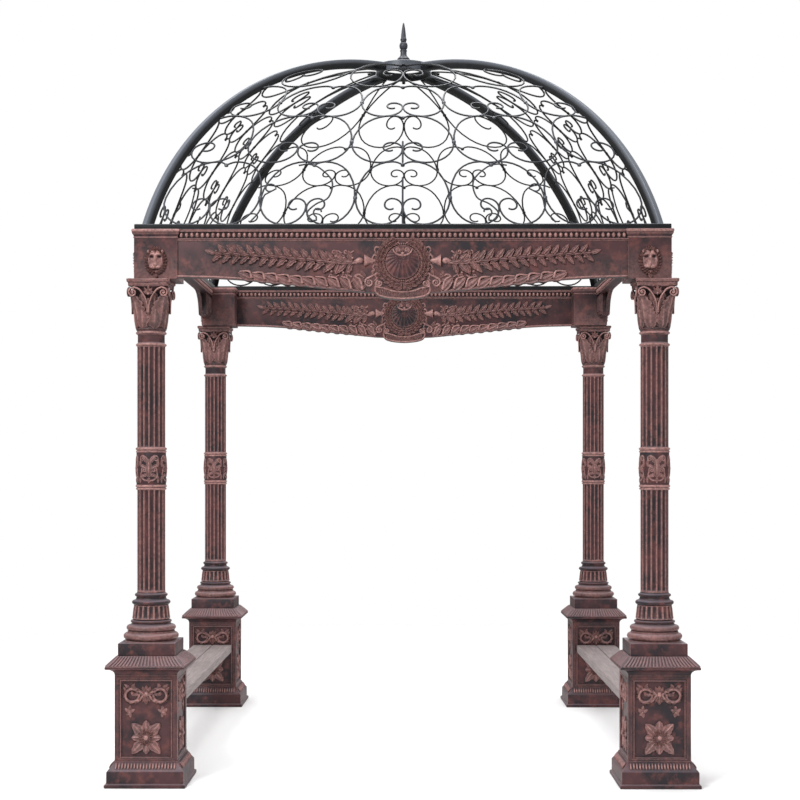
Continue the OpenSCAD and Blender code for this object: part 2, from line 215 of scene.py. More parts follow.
@dataclass
class Clay:
    """Closed forms gathered for one piece, with a mark for each point: how far it is rubbed bare (0 deep, 1
    proud); marks below 0 are painted dark, as glaze in hollows and as painted shade on beam undersides and
    inner faces, and on iron high marks paint a highlight.
    """

    points: list[np.ndarray] = field(default_factory=list)
    faces: list[tuple[int, ...]] = field(default_factory=list)
    rub: list[np.ndarray] = field(default_factory=list)
    count: int = 0

    def add(self, other: "Clay", place: Place) -> None:
        """Adds a copy of another clay.

        Args:
            other: what to copy.
            place: where the copy goes.
        """
        if not other.count:
            return
        base = self.count
        self.points.append(place(np.concatenate(other.points)))
        self.rub.append(np.concatenate(other.rub))
        self.faces.extend(tuple(i + base for i in f) for f in other.faces)
        self.count += other.count

    def loft(self, rings: np.ndarray, rub: np.ndarray | float = 0.0, closed: bool = False) -> None:
        """Adds a skin over a row of rings, capped at both ends unless the row closes on itself.

        Args:
            rings: places, indexed by ring, then by point round the ring, then by axis.
            rub: for each point, each ring or the whole skin.
            closed: the last ring joins the first.
        """
        rows, cols = rings.shape[:2]
        base = self.count
        rub = np.asarray(rub, float)
        if rub.ndim == 1:
            rub = rub[:, None]
        self.points.append(rings.reshape(-1, 3).astype(float))
        self.rub.append(np.broadcast_to(rub, (rows, cols)).reshape(-1).copy())
        i, j = np.meshgrid(np.arange(rows if closed else rows - 1), np.arange(cols), indexing="ij")
        a = i * cols + j
        b = i * cols + (j + 1) % cols
        c = ((i + 1) % rows) * cols + (j + 1) % cols
        d = ((i + 1) % rows) * cols + j
        quads = np.stack([a, b, c, d], axis=-1).reshape(-1, 4) + base
        self.faces.extend(map(tuple, quads.tolist()))
        if not closed:
            self.faces.append(tuple(range(base + cols - 1, base - 1, -1)))
            last = base + (rows - 1) * cols
            self.faces.append(tuple(range(last, last + cols)))
        self.count += rows * cols

    def tube(self, path: np.ndarray, radii: np.ndarray | float, up: np.ndarray | None = None,
             sides: int = 8, flat: float = 1.0, rub: tuple[float, float] = (0.15, 0.9)) -> None:
        """Adds a bar swept along a path.

        Args:
            path: two or three columns of places.
            radii: half width at each place.
            up: the direction out of the surface at each place, +z if left out.
            sides: points round the bar.
            flat: how high the bar stands against its half width.
            rub: at the surface, and on the bar's crest.
        """
        if path.shape[1] == 2:
            path = np.column_stack([path, np.zeros(len(path))])
        if up is None:
            up = np.broadcast_to(np.array([0.0, 0.0, 1.0]), path.shape)
        along = unit(np.gradient(path, axis=0))
        side = unit(np.cross(along, up))
        lift = unit(np.cross(side, along))
        r = np.broadcast_to(np.asarray(radii, float), (len(path),))[:, None, None]
        a = np.linspace(0, 2 * math.pi, sides, endpoint=False)[None, :, None]
        rings = path[:, None, :] + r * (np.cos(a) * side[:, None, :] + flat * np.sin(a) * lift[:, None, :])
        crest = np.clip(np.sin(a[0, :, 0]), 0, 1)
        self.loft(rings, np.broadcast_to(rub[0] + (rub[1] - rub[0]) * crest, (len(path), sides)))

    def leaf(self, x: float, y: float, angle: float, length: float, width: float, height: float,
             curl: float = 0.0, lobes: int = 0, lift: float = 0.0, rows: int = 7) -> None:
        """Adds a leaf that lies on the board, with a raised midrib and rim.

        Args:
            x: its foot, across.
            y: its foot, up.
            angle: degrees from +x in which it points.
            length: from foot to tip.
            width: at the widest place.
            height: of the midrib above the board.
            curl: sideways bend at the tip as a share of the length.
            lobes: teeth along each edge.
            lift: how far the tip stands off the board beyond the height.
            rows: sections along it.
        """
        u = np.linspace(0.02, 0.99, rows)[:, None]
        half = 0.5 * width * np.sin(math.pi * u**0.85) ** 0.8 + 0.04 * width
        if lobes:
            half = half * (0.8 + 0.28 * np.abs(np.sin(lobes * math.pi * u)))
        v = np.array([-1.0, -0.86, -0.5, -0.14, 0.0, 0.14, 0.5, 0.86, 1.0])[None, :]
        crest = np.array([-0.3, 0.74, 0.5, 0.72, 1.0, 0.72, 0.5, 0.74, -0.3])[None, :]
        swell = 0.45 + 0.55 * np.sin(math.pi * np.clip(u, 0, 1) ** 0.8)
        along = length * u - 0.12 * width * np.abs(v) * (1 - u)
        across = half * v + curl * length * u**2
        high = height * crest * swell + lift * u**2.2
        c, s = math.cos(math.radians(angle)), math.sin(math.radians(angle))
        rings = np.stack([x + along * c - across * s, y + along * s + across * c, high], axis=-1)
        rub = np.clip(crest, 0, 1) ** 1.15 * (0.66 + 0.34 * u)
        self.loft(rings, np.broadcast_to(rub, rings.shape[:2]))

    def bead(self, x: float, y: float, rx: float, ry: float, rz: float, z: float = 0.0,
             sides: int = 8, rows: int = 5, rub: float = 1.0) -> None:
        """Adds an egg-shaped bead.

        Args:
            x: its middle, across.
            y: its middle, up.
            rx: half width.
            ry: half height.
            rz: how far it stands proud.
            z: its middle, proud.
            sides: points round it.
            rows: rings from back to front.
            rub: wear on its crown.
        """
        t = np.linspace(-0.48 * math.pi, 0.48 * math.pi, rows)[:, None]
        a = np.linspace(0, 2 * math.pi, sides, endpoint=False)[None, :]
        rings = np.stack([x + rx * np.cos(t) * np.cos(a), y + ry * np.cos(t) * np.sin(a),
                          z + rz * np.sin(t) + 0 * a], axis=-1)
        self.loft(rings, rub * np.clip(np.sin(t[:, 0]), 0, 1) ** 0.7)

    def lathe(self, profile: np.ndarray, flutes: int = 0, shape: Sequence[float] = (), sides: int = 48,
              rub: np.ndarray | float = 0.2) -> None:
        """Adds a turned form about the upright axis.

        Args:
            profile: columns of radius, height and, with flutes, their depth.
            flutes: how many run round it.
            shape: places across one flute, 0 to 1.
            sides: points round it when there are no flutes.
            rub: wear at each place of the profile.
        """
        if flutes:
            across = np.tile(np.array(shape), flutes)
            a = 2 * math.pi * (np.repeat(np.arange(flutes), len(shape)) + across) / flutes
            cut = np.sqrt(np.clip(1 - ((across - 0.5) / 0.37) ** 2, 0, 1))
        else:
            a = np.linspace(0, 2 * math.pi, sides, endpoint=False)
            cut = np.zeros(sides)
        depth = profile[:, 2:3] if profile.shape[1] > 2 else np.zeros((len(profile), 1))
        r = profile[:, 0:1] - depth * cut[None, :]
        rings = np.stack([r * np.cos(a), r * np.sin(a), np.broadcast_to(profile[:, 1:2], r.shape)], axis=-1)
        wear = np.broadcast_to(np.asarray(rub, float).reshape(-1, 1), r.shape)
        self.loft(rings, wear * (1 - 0.9 * cut[None, :] * (depth > 0)))

    def square(self, outline: np.ndarray, rub: np.ndarray | float = 0.2) -> None:
        """Adds a square block that follows an outline up all four sides.

        Args:
            outline: columns of half width and height.
            rub: wear at each place of the outline.
        """
        corners = np.array([[-1, -1], [1, -1], [1, 1], [-1, 1]])
        rings = np.stack([np.column_stack([h * corners, np.full(4, z)]) for h, z in outline])
        self.loft(rings, rub)

    def mesh(self, name: str, weld: bool = False) -> bpy.types.Mesh:
        """Makes the mesh of everything gathered.

        Args:
            name: of the mesh.
            weld: join points that lie together.

        Returns:
            The mesh, in metres, with its marks for wear, glaze, painted shade and painted highlight in the
            attribute "rub".
        """
        mesh = bpy.data.meshes.new(name)
        mesh.from_pydata((np.concatenate(self.points) * MM).tolist(), [], self.faces)
        wear = mesh.attributes.new("rub", "FLOAT", "POINT")
        wear.data.foreach_set("value", np.concatenate(self.rub).astype(np.float32))
        kit = bmesh.new()
        kit.from_mesh(mesh)
        if weld:
            bmesh.ops.remove_doubles(kit, verts=kit.verts, dist=0.05 * MM)
        bmesh.ops.recalc_face_normals(kit, faces=kit.faces)
        for edge in kit.edges:
            edge.smooth = len(edge.link_faces) == 2 and edge.calc_face_angle(0) < math.radians(38)
        for face in kit.faces:
            face.smooth = True
        kit.to_mesh(mesh)
        kit.free()
        return mesh


def curve_points(*runs: Sequence[Sequence[float]]) -> np.ndarray:
    """One outline from several runs of points."""
    return np.array([p for run in runs for p in run], float)


def quarter(start: tuple[float, float], end: tuple[float, float], hollow: bool, steps: int = 6) -> list:
    """Points of a quarter round between two places of an outline.

    Args:
        start: first place, half width and height.
        end: last place.
        hollow: leaves the start level and arrives upright; otherwise the other way round.
        steps: pieces.

    Returns:
        The points.
    """
    points = []
    for i in range(steps + 1):
        a = math.radians(90 * i / steps)
        s, t = (math.sin(a), 1 - math.cos(a)) if hollow else (1 - math.cos(a), math.sin(a))
        points.append((start[0] + (end[0] - start[0]) * s, start[1] + (end[1] - start[1]) * t))
    return points


def torus(r: float, z: float, size: float, steps: int = 8, squash: float = 1.0) -> list:
    """Points of a half round on the outside of a turned piece.

    Args:
        r: radius of its centre.
        z: height of its centre.
        size: its own radius.
        steps: pieces.
        squash: its reach against its size.

    Returns:
        The points from the bottom up.
    """
    return [(r + squash * size * math.cos(math.radians(a)), z + size * math.sin(math.radians(a)))
            for a in np.linspace(-90, 90, steps + 1)]


def pieces_of(mesh: bpy.types.Mesh, name: str, finish: "Finish", nodes: Sequence[str],
              place: tuple[float, float, float] = (0, 0, 0), turn: float = 0.0,
              bevel: float = 0.0) -> bpy.types.Object:
    """Puts one piece in the scene and ties it to the frame.

    Args:
        mesh: its mesh.
        name: its name.
        finish: its finish.
        nodes: the frame's nodes that it stands for.
        place: where its origin goes, in millimetres.
        turn: degrees about the upright axis.
        bevel: width of the softened edges, in millimetres.

    Returns:
        The piece.
    """
    piece = bpy.data.objects.new(name, mesh)
    bpy.context.scene.collection.objects.link(piece)
    piece.location = [v * MM for v in place]
    piece.rotation_euler = (0, 0, math.radians(turn))
    if bevel:
        soften = piece.modifiers.new("soft edges", "BEVEL")
        soften.width = bevel * MM
        soften.segments = 2
        soften.limit_method = "ANGLE"
        soften.angle_limit = math.radians(30)
    if not mesh.materials:
        mesh.materials.append(finish.material())
    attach(piece, BODY)
    if nodes:
        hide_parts(*nodes)
    log.info("%s: %d faces", name, len(mesh.polygons))
    return piece


# ---------------------------------------------------------------- finishes


def linear(code: str) -> tuple[float, float, float, float]:
    """Turns an sRGB hex colour to linear.

    Args:
        code: such as "#6b4747".

    Returns:
        Linear red, green, blue and alpha.
    """
    parts = [int(code[i:i + 2], 16) / 255 for i in (1, 3, 5)]
    return (*[c / 12.92 if c <= 0.04045 else ((c + 0.055) / 1.055) ** 2.4 for c in parts], 1.0)


def node(tree: bpy.types.NodeTree, kind: str, settings: dict | None = None,
         links: dict | None = None) -> bpy.types.Node:
    """Adds one node.

    Args:
        tree: where it goes.
        kind: its type name.
        settings: values of its properties, or of its inputs where the name is one.
        links: output sockets for its inputs.

    Returns:
        The node.
    """
    made = tree.nodes.new(kind)
    for key, value in (settings or {}).items():
        if isinstance(key, str) and hasattr(made, key):
            setattr(made, key, value)
        else:
            made.inputs[key].default_value = value
    for key, source in (links or {}).items():
        tree.links.new(source, made.inputs[key])
    return made


def ramp(tree: bpy.types.NodeTree, source: bpy.types.NodeSocket, low: float, high: float,
         top: float = 1.0) -> bpy.types.NodeSocket:
    """Stretches a value between two levels to 0 and top.

    Args:
        tree: the node tree.
        source: the value.
        low: level that gives 0.
        high: level that gives top.
        top: highest value given.

    Returns:
        The stretched value.
    """
    return node(tree, "ShaderNodeMapRange", {"From Min": low, "From Max": high, "To Max": top},
                {"Value": source}).outputs["Result"]


def blend(tree: bpy.types.NodeTree, amount: bpy.types.NodeSocket, a: object,
          b: object) -> bpy.types.NodeSocket:
    """Mixes two colours.

    Args:
        tree: the node tree.
        amount: 0 for the first, 1 for the second.
        a: first colour or a socket.
        b: second colour or a socket.

    Returns:
        The mixed colour.
    """
    mix = node(tree, "ShaderNodeMix", {"data_type": "RGBA"})
    tree.links.new(amount, mix.inputs[0])
    for slot, value in ((6, a), (7, b)):
        if isinstance(value, bpy.types.NodeSocket):
            tree.links.new(value, mix.inputs[slot])
        else:
            mix.inputs[slot].default_value = value
    return mix.outputs[2]


@dataclass(frozen=True)
class Finish:
    """A surface finish, made once and shared."""

    name: str
    slot: Slot

    def material(self) -> bpy.types.Material:
        """The material, made on its first use."""
        found = bpy.data.materials.get(self.name)
        if found:
            return found
        made = bpy.data.materials.new(self.name)
        made.use_nodes = True
        tree = made.node_tree
        tree.nodes.clear()
        shader = self.shade(tree)
        node(tree, "ShaderNodeOutputMaterial", None, {"Surface": shader.outputs[0]})
        return made

    def shade(self, tree: bpy.types.NodeTree) -> bpy.types.Node:
        """Builds the shader.

        Args:
            tree: the material's empty node tree.

        Returns:
            The shader node.
        """
        raise NotImplementedError

    @staticmethod
    def cloud(tree: bpy.types.NodeTree, place: bpy.types.NodeSocket, size_mm: float, detail: float = 3.0,
              rough: float = 0.55) -> bpy.types.NodeSocket:
        """A soft noise.

        Args:
            tree: the node tree.
            place: where to read it, in metres.
            size_mm: size of its largest blots.
            detail: octaves.
            rough: weight of the finer ones.

        Returns:
            Its value, around a half.
        """
        return node(tree, "ShaderNodeTexNoise", {"Scale": 1 / (size_mm * MM), "Detail": detail,
                                                 "Roughness": rough}, {"Vector": place}).outputs["Fac"]

    @staticmethod
    def edges(tree: bpy.types.NodeTree, width_mm: float) -> bpy.types.NodeSocket:
        """How near a point is to a sharp edge.

        Args:
            tree: the node tree.
            width_mm: how far the wear of an edge reaches.

        Returns:
            1 on an edge, 0 away from it.
        """
        soft = node(tree, "ShaderNodeBevel", {"samples": 6, "Radius": width_mm * MM}).outputs["Normal"]
        flat = node(tree, "ShaderNodeNewGeometry").outputs["Normal"]
        agree = node(tree, "ShaderNodeVectorMath", {"operation": "DOT_PRODUCT"},
                     {0: soft, 1: flat}).outputs["Value"]
        return ramp(tree, agree, 0.985, 0.86)


@dataclass(frozen=True)
class RubbedCasting(Finish):
    """Cast iron, sand cast, painted oxblood, glazed dark and rubbed to copper on what stands proud.

    The eye sees near-black hollows, partly glaze and partly painted shade, a mottled brown and plum field,
    and coppery pink crests.
    """

    hollow: str = "#1c1011"
    plum: str = "#4d3436"
    soot: str = "#2d282c"
    rust: str = "#6d4340"
    # Pale grey of the upward faces: dust together with painted sky sheen.
    dust: str = "#8b8089"
    copper: str = "#b98c86"
    worn: float = 0.85
    edge_mm: float = 2.5
    blot_mm: float = 160.0
    patch_mm: float = 45.0
    scuff_mm: float = 14.0
    grain_mm: float = 3.0
    occlusion_shade_mm: float = 20.0

    def shade(self, tree: bpy.types.NodeTree) -> bpy.types.Node:
        """Builds the patina.

        Args:
            tree: the material's empty node tree.

        Returns:
            The shader node.
        """
        place = node(tree, "ShaderNodeNewGeometry").outputs["Position"]
        blot = self.cloud(tree, place, self.blot_mm, 4.0)
        patch = self.cloud(tree, place, self.patch_mm, 5.0, 0.62)
        grain = self.cloud(tree, place, self.grain_mm, 2.0)
        field_colour = blend(tree, ramp(tree, blot, 0.42, 0.6), linear(self.plum), linear(self.soot))
        field_colour = blend(tree, ramp(tree, patch, 0.5, 0.7, 0.8), field_colour, linear(self.rust))
        # Faces that look up are blended towards a pale grey, partly dust and partly painted sky sheen, so
        # flats and ledges read lighter than walls.
        upward = node(tree, "ShaderNodeSeparateXYZ", None,
                      {0: node(tree, "ShaderNodeNewGeometry").outputs["Normal"]}).outputs["Z"]
        field_colour = blend(tree, ramp(tree, upward, 0.3, 0.95, 0.5), field_colour, linear(self.dust))
        # Copper shows on sharp edges and on relief that stands proud, broken up where the rag missed.
        edge = self.edges(tree, self.edge_mm)
        raw = node(tree, "ShaderNodeAttribute", {"attribute_name": "rub"}).outputs["Fac"]
        rub = ramp(tree, raw, 0.18, 0.85)
        proud = node(tree, "ShaderNodeMath", {"operation": "MAXIMUM"}, {0: edge, 1: rub}).outputs[0]
        scuff = ramp(tree, self.cloud(tree, place, self.scuff_mm, 4.0, 0.7), 0.22, 0.6)
        wear = node(tree, "ShaderNodeMath", {"operation": "MULTIPLY"}, {0: proud, 1: scuff}).outputs[0]
        wear = node(tree, "ShaderNodeMath", {"operation": "MULTIPLY", 1: self.worn}, {0: wear}).outputs[0]
        # Near-black goes into the hollows: where the mark is below 0 it is partly dark glaze and partly
        # painted shade on undersides and inner faces, and where parts shelter each other it is painted shade.
        marked_glaze_and_shade = ramp(tree, raw, 0.0, -1.0)
        # Ambient occlusion: painted shade where parts crowd each other.
        occlusion_shade = node(tree, "ShaderNodeAmbientOcclusion",
                       {"samples": 8, "Distance": self.occlusion_shade_mm * MM}).outputs["AO"]
        glaze_and_painted_shade = ramp(tree, occlusion_shade, 0.8, 0.2, 0.95)
        glaze_and_painted_shade = node(tree, "ShaderNodeMath", {"operation": "MAXIMUM"}, {0: glaze_and_painted_shade, 1: marked_glaze_and_shade}).outputs[0]
        colour = blend(tree, glaze_and_painted_shade, field_colour, linear(self.hollow))
        colour = blend(tree, wear, colour, linear(self.copper))
        rough = node(tree, "ShaderNodeMapRange", {"To Min": 0.36, "To Max": 0.6}, {"Value": grain})
        bump = node(tree, "ShaderNodeBump", {"Strength": 0.35, "Distance": 1.2 * MM}, {"Height": grain})
        return node(tree, "ShaderNodeBsdfPrincipled", {"Metallic": 0.15, "Specular IOR Level": 0.22},
                    {"Base Color": colour, "Roughness": rough.outputs[0], "Normal": bump.outputs[0]})


@dataclass(frozen=True)
class ForgePaint(Finish):
    """Wrought iron bar, forged and bent, brushed with charcoal paint.

    The eye sees a near-black satin skin with slate blue light along the edges.
    """

    coat: str = "#0f1012"
    edge_highlight: str = "#777c86"
    dust: str = "#191b1f"
    metal: float = 0.1
    patch_mm: float = 60.0
    brush_mm: float = 5.0

    def shade(self, tree: bpy.types.NodeTree) -> bpy.types.Node:
        """Builds the paint.

        Args:
            tree: the material's empty node tree.

        Returns:
            The shader node.
        """
        place = node(tree, "ShaderNodeNewGeometry").outputs["Position"]
        patch = self.cloud(tree, place, self.patch_mm, 4.0)
        brush = self.cloud(tree, place, self.brush_mm, 3.0)
        colour = blend(tree, ramp(tree, patch, 0.45, 0.7, 0.8), linear(self.coat), linear(self.dust))
        rub = node(tree, "ShaderNodeAttribute", {"attribute_name": "rub"}).outputs["Fac"]
        # Painted highlight: where the mark is high, on edges, crests and the ribs' outer faces, the colour
        # turns slate blue.
        colour = blend(tree, ramp(tree, rub, 0.5, 1.0, 0.75), colour, linear(self.edge_highlight))
        rough = node(tree, "ShaderNodeMapRange", {"To Min": 0.32, "To Max": 0.55}, {"Value": brush})
        bump = node(tree, "ShaderNodeBump", {"Strength": 0.25, "Distance": 0.6 * MM}, {"Height": brush})
        return node(tree, "ShaderNodeBsdfPrincipled", {"Metallic": self.metal, "Specular IOR Level": 0.3},
                    {"Base Color": colour, "Roughness": rough.outputs[0], "Normal": bump.outputs[0]})


@dataclass(frozen=True)
class WeatheredBoard(Finish):
    """Softwood plank, sawn and planed, left out in the weather.

    The eye sees a dull grey-brown with long silvery grain and darker streaks.
    """

    pale: str = "#9d9190"
    dark: str = "#6b605f"
    grain_mm: float = 7.0
    stain_mm: float = 180.0

    def shade(self, tree: bpy.types.NodeTree) -> bpy.types.Node:
        """Builds the wood.

        Args:
            tree: the material's empty node tree.

        Returns:
            The shader node.
        """
        place = node(tree, "ShaderNodeNewGeometry").outputs["Position"]
        drawn = node(tree, "ShaderNodeMapping", {"Scale": (1.0, 0.04, 1.0)}, {"Vector": place}).outputs[0]
        grain = self.cloud(tree, drawn, self.grain_mm, 5.0, 0.7)
        stain = self.cloud(tree, place, self.stain_mm, 3.0)
        colour = blend(tree, ramp(tree, grain, 0.3, 0.7), linear(self.dark), linear(self.pale))
        colour = blend(tree, ramp(tree, stain, 0.5, 0.75, 0.5), colour, linear(self.dark))
        rough = node(tree, "ShaderNodeMapRange", {"To Min": 0.6, "To Max": 0.85}, {"Value": grain})
        bump = node(tree, "ShaderNodeBump", {"Strength": 0.4, "Distance": 0.8 * MM}, {"Height": grain})
        return node(tree, "ShaderNodeBsdfPrincipled", None,
                    {"Base Color": colour, "Roughness": rough.outputs[0], "Normal": bump.outputs[0]})


CAST = RubbedCasting("oxblood rubbed casting", Slot.CAST)
IRON = ForgePaint("charcoal forge paint", Slot.IRON)
SPIKE = ForgePaint("grey forge paint", Slot.IRON, coat="#3c3d43", edge_highlight="#6f7077", dust="#47484e")
BOARD = WeatheredBoard("weathered board", Slot.BOARD)


# ---------------------------------------------------------------- lines of ornament


def smooth(points: Sequence[Sequence[float]], steps: int = 6) -> np.ndarray:
    """A soft line through several points.

    Args:
        points: two or three columns.
        steps: pieces between two of them.

    Returns:
        The points of the line.
    """
    p = np.array(points, float)
    p = np.concatenate([2 * p[:1] - p[1:2], p, 2 * p[-1:] - p[-2:-1]])
    out = []
    for i in range(1, len(p) - 2):
        for t in np.linspace(0, 1, steps, endpoint=False):
            out.append(0.5 * (2 * p[i] + (p[i + 1] - p[i - 1]) * t
                              + (2 * p[i - 1] - 5 * p[i] + 4 * p[i + 1] - p[i + 2]) * t**2
                              + (3 * p[i] - p[i - 1] - 3 * p[i + 1] + p[i + 2]) * t**3))
    out.append(p[-2])
    return np.array(out)


def coil(x: float, y: float, r: float, start: float, turns: float, hand: int, eye: float = 0.12,
         steps: int = 14) -> np.ndarray:
    """A spiral from its rim to its eye.

    Args:
        x: its middle, across.
        y: its middle, up.
        r: radius at the rim.
        start: degrees from +x at which it begins.
        turns: how many.
        hand: 1 winds anticlockwise, -1 clockwise.
        eye: radius at the end as a share of r.
        steps: points to each turn.

    Returns:
        The points.
    """
    t = np.linspace(0, 1, max(4, round(turns * steps)))
    a = math.radians(start) + hand * 2 * math.pi * turns * t
    reach = r * (1 - (1 - eye) * t**0.85)
    return np.column_stack([x + reach * np.cos(a), y + reach * np.sin(a)])


def both_ways(clay: Clay) -> Clay:
    """A clay and its mirror image."""
    pair = Clay()
    pair.add(clay, moved(0, 0, 0))
    pair.add(clay, mirrored)
    return pair


def rings_of(half_x: Sequence[float], low: Sequence[float], high: Sequence[float],
             proud: Sequence[float]) -> np.ndarray:
    """Rectangles on a board, one for each place of a frame's section.

    Args:
        half_x: half width of each.
        low: lower edge of each.
        high: upper edge of each.
        proud: how far each stands off the board.

    Returns:
        The rings.
    """
    return np.stack([[(-x, a, z), (x, a, z), (x, b, z), (-x, b, z)]
                     for x, a, b, z in zip(half_x, low, high, proud)]).astype(float)


# ---------------------------------------------------------------- columns


@dataclass
class Pedestal:
    """The foot of a column: a panelled block with gadroons below and fluting above."""

    foot: float = 410.0
    die: float = 318.0
    cap: float = 404.0
    plinth: float = 290.0
    panel: float = 250.0
    depth: float = 10.0
    panel_low: float = 151.0
    panel_high: float = 535.0
    pitch: float = 15.6

    def build(self) -> Clay:
        """The block, its frames and the relief on its four faces."""
        clay = Clay()
        f, d, c = self.foot / 2, self.die / 2, self.cap / 2
        core = d - self.depth
        clay.square(curve_points(
            [(f - 3, 0), (f, 3), (f, 13), (f - 2, 18), (f - 7, 20), (195, 22), (195, 80), (192, 85)],
            [(182, 97), (172, 111), (165, 124), (163, 131), (core, 131.5), (core, 564.5), (d, 565)],
            quarter((d, 567), (c - 6, 597), False), [(c, 600), (c, 609), (c - 2, 612)],
            [(152, 657), (150, 659), (self.plinth / 2, 660), (self.plinth / 2, 722), (143, 725)]), 0.12)
        face = self.face()
        for angle in (0, 90, 180, 270):
            clay.add(face, wall(core, angle))
            clay.add(self.gadroons(), then(lambda p: p + np.outer(p[:, 1], [0, 0, -0.62]),
                                           wall(177, angle, 109)))
            clay.add(self.cap_flutes(), wall(0, angle))
        return clay

    def gadroons(self) -> Clay:
        """A row of upright beads, each with its middle at height 0."""
        clay = Clay()
        count = 20
        for i in range(count):
            clay.bead((i - (count - 1) / 2) * self.pitch, 0, 5.6, 17, 7.5, 0, 8, 5, 0.85)
        return clay

    def cap_flutes(self) -> Clay:
        """Ribs up the sloping top, as places on a wall at distance 0."""
        clay = Clay()
        count = 21
        for i in range(count):
            x = (i - (count - 1) / 2) * self.pitch * 1.18
            path = np.array([(x, 613, 199), (x * 0.87, 636, 176), (x * 0.765, 658, 152)])
            up = np.broadcast_to(np.array([0, 0.72, 0.7]), path.shape)
            clay.tube(path, [6.6, 6.2, 5.4], up, 8, 0.75, (0.0, 0.45))
        return clay

    def face(self) -> Clay:
        """One panel frame with its ornament, proud of the recess."""
        clay = Clay()
        d, w, t = self.die / 2, self.panel / 2, self.depth
        low, high = self.panel_low, self.panel_high
        outs = [(d - t, 0), (d, t), (w + 15, t), (w + 12, t - 3.5), (w + 8, t - 3.5), (w + 5, t + 0.5),
                (w + 2, t), (w, 3), (w, 0)]
        side = [v for v, _ in outs]
        reach = [(v - w) / (d - w) for v in side]
        rect = rings_of(side, [low - r * 20 for r in reach], [high + r * 30 for r in reach],
                        [z for _, z in outs])
        clay.loft(rect, [0, 0.2, 0.25, -0.1, -0.2, 0.5, 0.4, -0.3, -0.3], True)
        clay.add(self.rosette(), moved(0, 249, 0))
        clay.add(self.bow(), moved(0, 469, 0))
        sprig = Clay()
        for angle, length in ((90, 34), (35, 30), (145, 30), (250, 26), (-50, 20)):
            sprig.leaf(85, 377, angle, length, 15, 6, 0.1)
        sprig.bead(85, 377, 5, 5, 7)
        clay.add(both_ways(sprig), moved(0, 0, 0))
        return clay

    def rosette(self) -> Clay:
        """Eight long leaves round an inner flower."""
        clay = Clay()
        for angle, length, width in ((90, 85, 44), (0, 72, 40), (180, 72, 40), (270, 82, 42), (45, 99, 46),
                                     (135, 99, 46), (-48, 107, 46), (228, 107, 46)):
            a = math.radians(angle)
            clay.leaf(16 * math.cos(a), 16 * math.sin(a), angle, length - 14, width * 1.08, 12, 0.0, 3, 4, 11)
        clay.bead(0, 0, 36, 36, 13, 0, 20, 7, 0.55)
        for i in range(16):
            a = math.radians(11.25 + 22.5 * i)
            clay.leaf(8 * math.cos(a), 8 * math.sin(a), 11.25 + 22.5 * i, 36, 14, 17, 0.0, 0, 3)
        clay.bead(0, 0, 14, 14, 10, 13, 16, 8)
        return clay

    def bow(self) -> Clay:
        """A ribbon bow with a bud and a pendant."""
        half = Clay()
        turn = np.radians(np.linspace(150, -190, 26))
        loop = np.column_stack([70 + 34 * np.cos(turn), -6 + 33 * np.sin(turn), 5 + 3 * np.cos(turn)])
        half.tube(loop, 7.2, None, 8, 0.9, (0.1, 0.7))
        for a in np.radians(np.arange(-170, 150, 36)):
            half.leaf(70 + 34 * math.cos(a), -6 + 33 * math.sin(a), math.degrees(a) + 62, 22, 12, 15, 0.2,
                      0, 0, 6)
        half.tube(smooth([(78, 26), (52, 24), (28, 10), (6, -8)], 5), np.linspace(8.5, 7, 16), None, 8, 0.9,
                  (0.2, 0.85))
        half.tube(smooth([(60, -38), (42, -34), (24, -18), (6, 4)], 5), np.linspace(8.5, 7, 16), None, 8,
                  1.1, (0.2, 0.85))
        for x, y, angle, length, bend in ((84, 24, 60, 36, -0.3), (70, 28, 96, 26, 0.3),
                                          (96, 16, 30, 26, 0.25),
                                          (64, -34, -40, 24, 0.2), (62, -6, 40, 24, 0.2),
                                          (62, -6, 150, 24, 0.2)):
            half.leaf(x, y, angle, length, 15, 8, bend)
        half.leaf(4, -6, -62, 36, 18, 12, -0.1)
        half.leaf(6, 6, 58, 34, 17, 12, 0.15)
        half.leaf(14, 0, 20, 26, 14, 9, 0.1)
        clay = both_ways(half)
        clay.leaf(0, -6, -90, 46, 26, 15, 0, 0, 2)
        clay.bead(0, 0, 13, 15, 16, 3, 14, 8)
        clay.leaf(0, 8, 90, 34, 22, 12)
        return clay


@dataclass
class ColumnBase:
    """Rings and a fluted drum between the pedestal and the shaft."""

    low: float = 725.0
    high: float = 978.0
    flutes: int = 20

    def build(self) -> Clay:
        """The turned form with its fluted drum."""
        clay = Clay()
        z = self.low
        profile = curve_points(
            [(136, z)], torus(124, z + 26, 17, 10, 1.0), [(121, z + 47), (121, z + 52)],
            torus(112, z + 69, 14, 8), [(104, z + 87), (98, z + 92)], torus(98, z + 101, 7, 6),
                               [(88, z + 111)],
            [(84, z + 116), (82, z + 184)], torus(84, z + 199, 12, 8, 1.2), [(80, z + 214), (76, z + 220)],
            torus(76, z + 237, 8, 6), [(72.5, z + 249), (72, self.high)])
        clay.lathe(profile, rub=np.clip((profile[:, 0] - 84) / 90, 0.1, 0.5))
        drum = [(84, 112, 0), (95, 114, 0), (97, 117, 0), (97, 121, 3), (96, 128, 6.5), (92, 165, 6.5),
                (90, 176, 6), (89, 180, 3), (89, 184, 0), (84, 188, 0)]
        clay.lathe(np.array([(r, z + h, cut) for r, h, cut in drum]), self.flutes,
                   (0.0, 0.06, 0.12, 0.16, 0.24, 0.36, 0.5, 0.64, 0.76, 0.84, 0.88, 0.94), rub=0.7)
        return clay


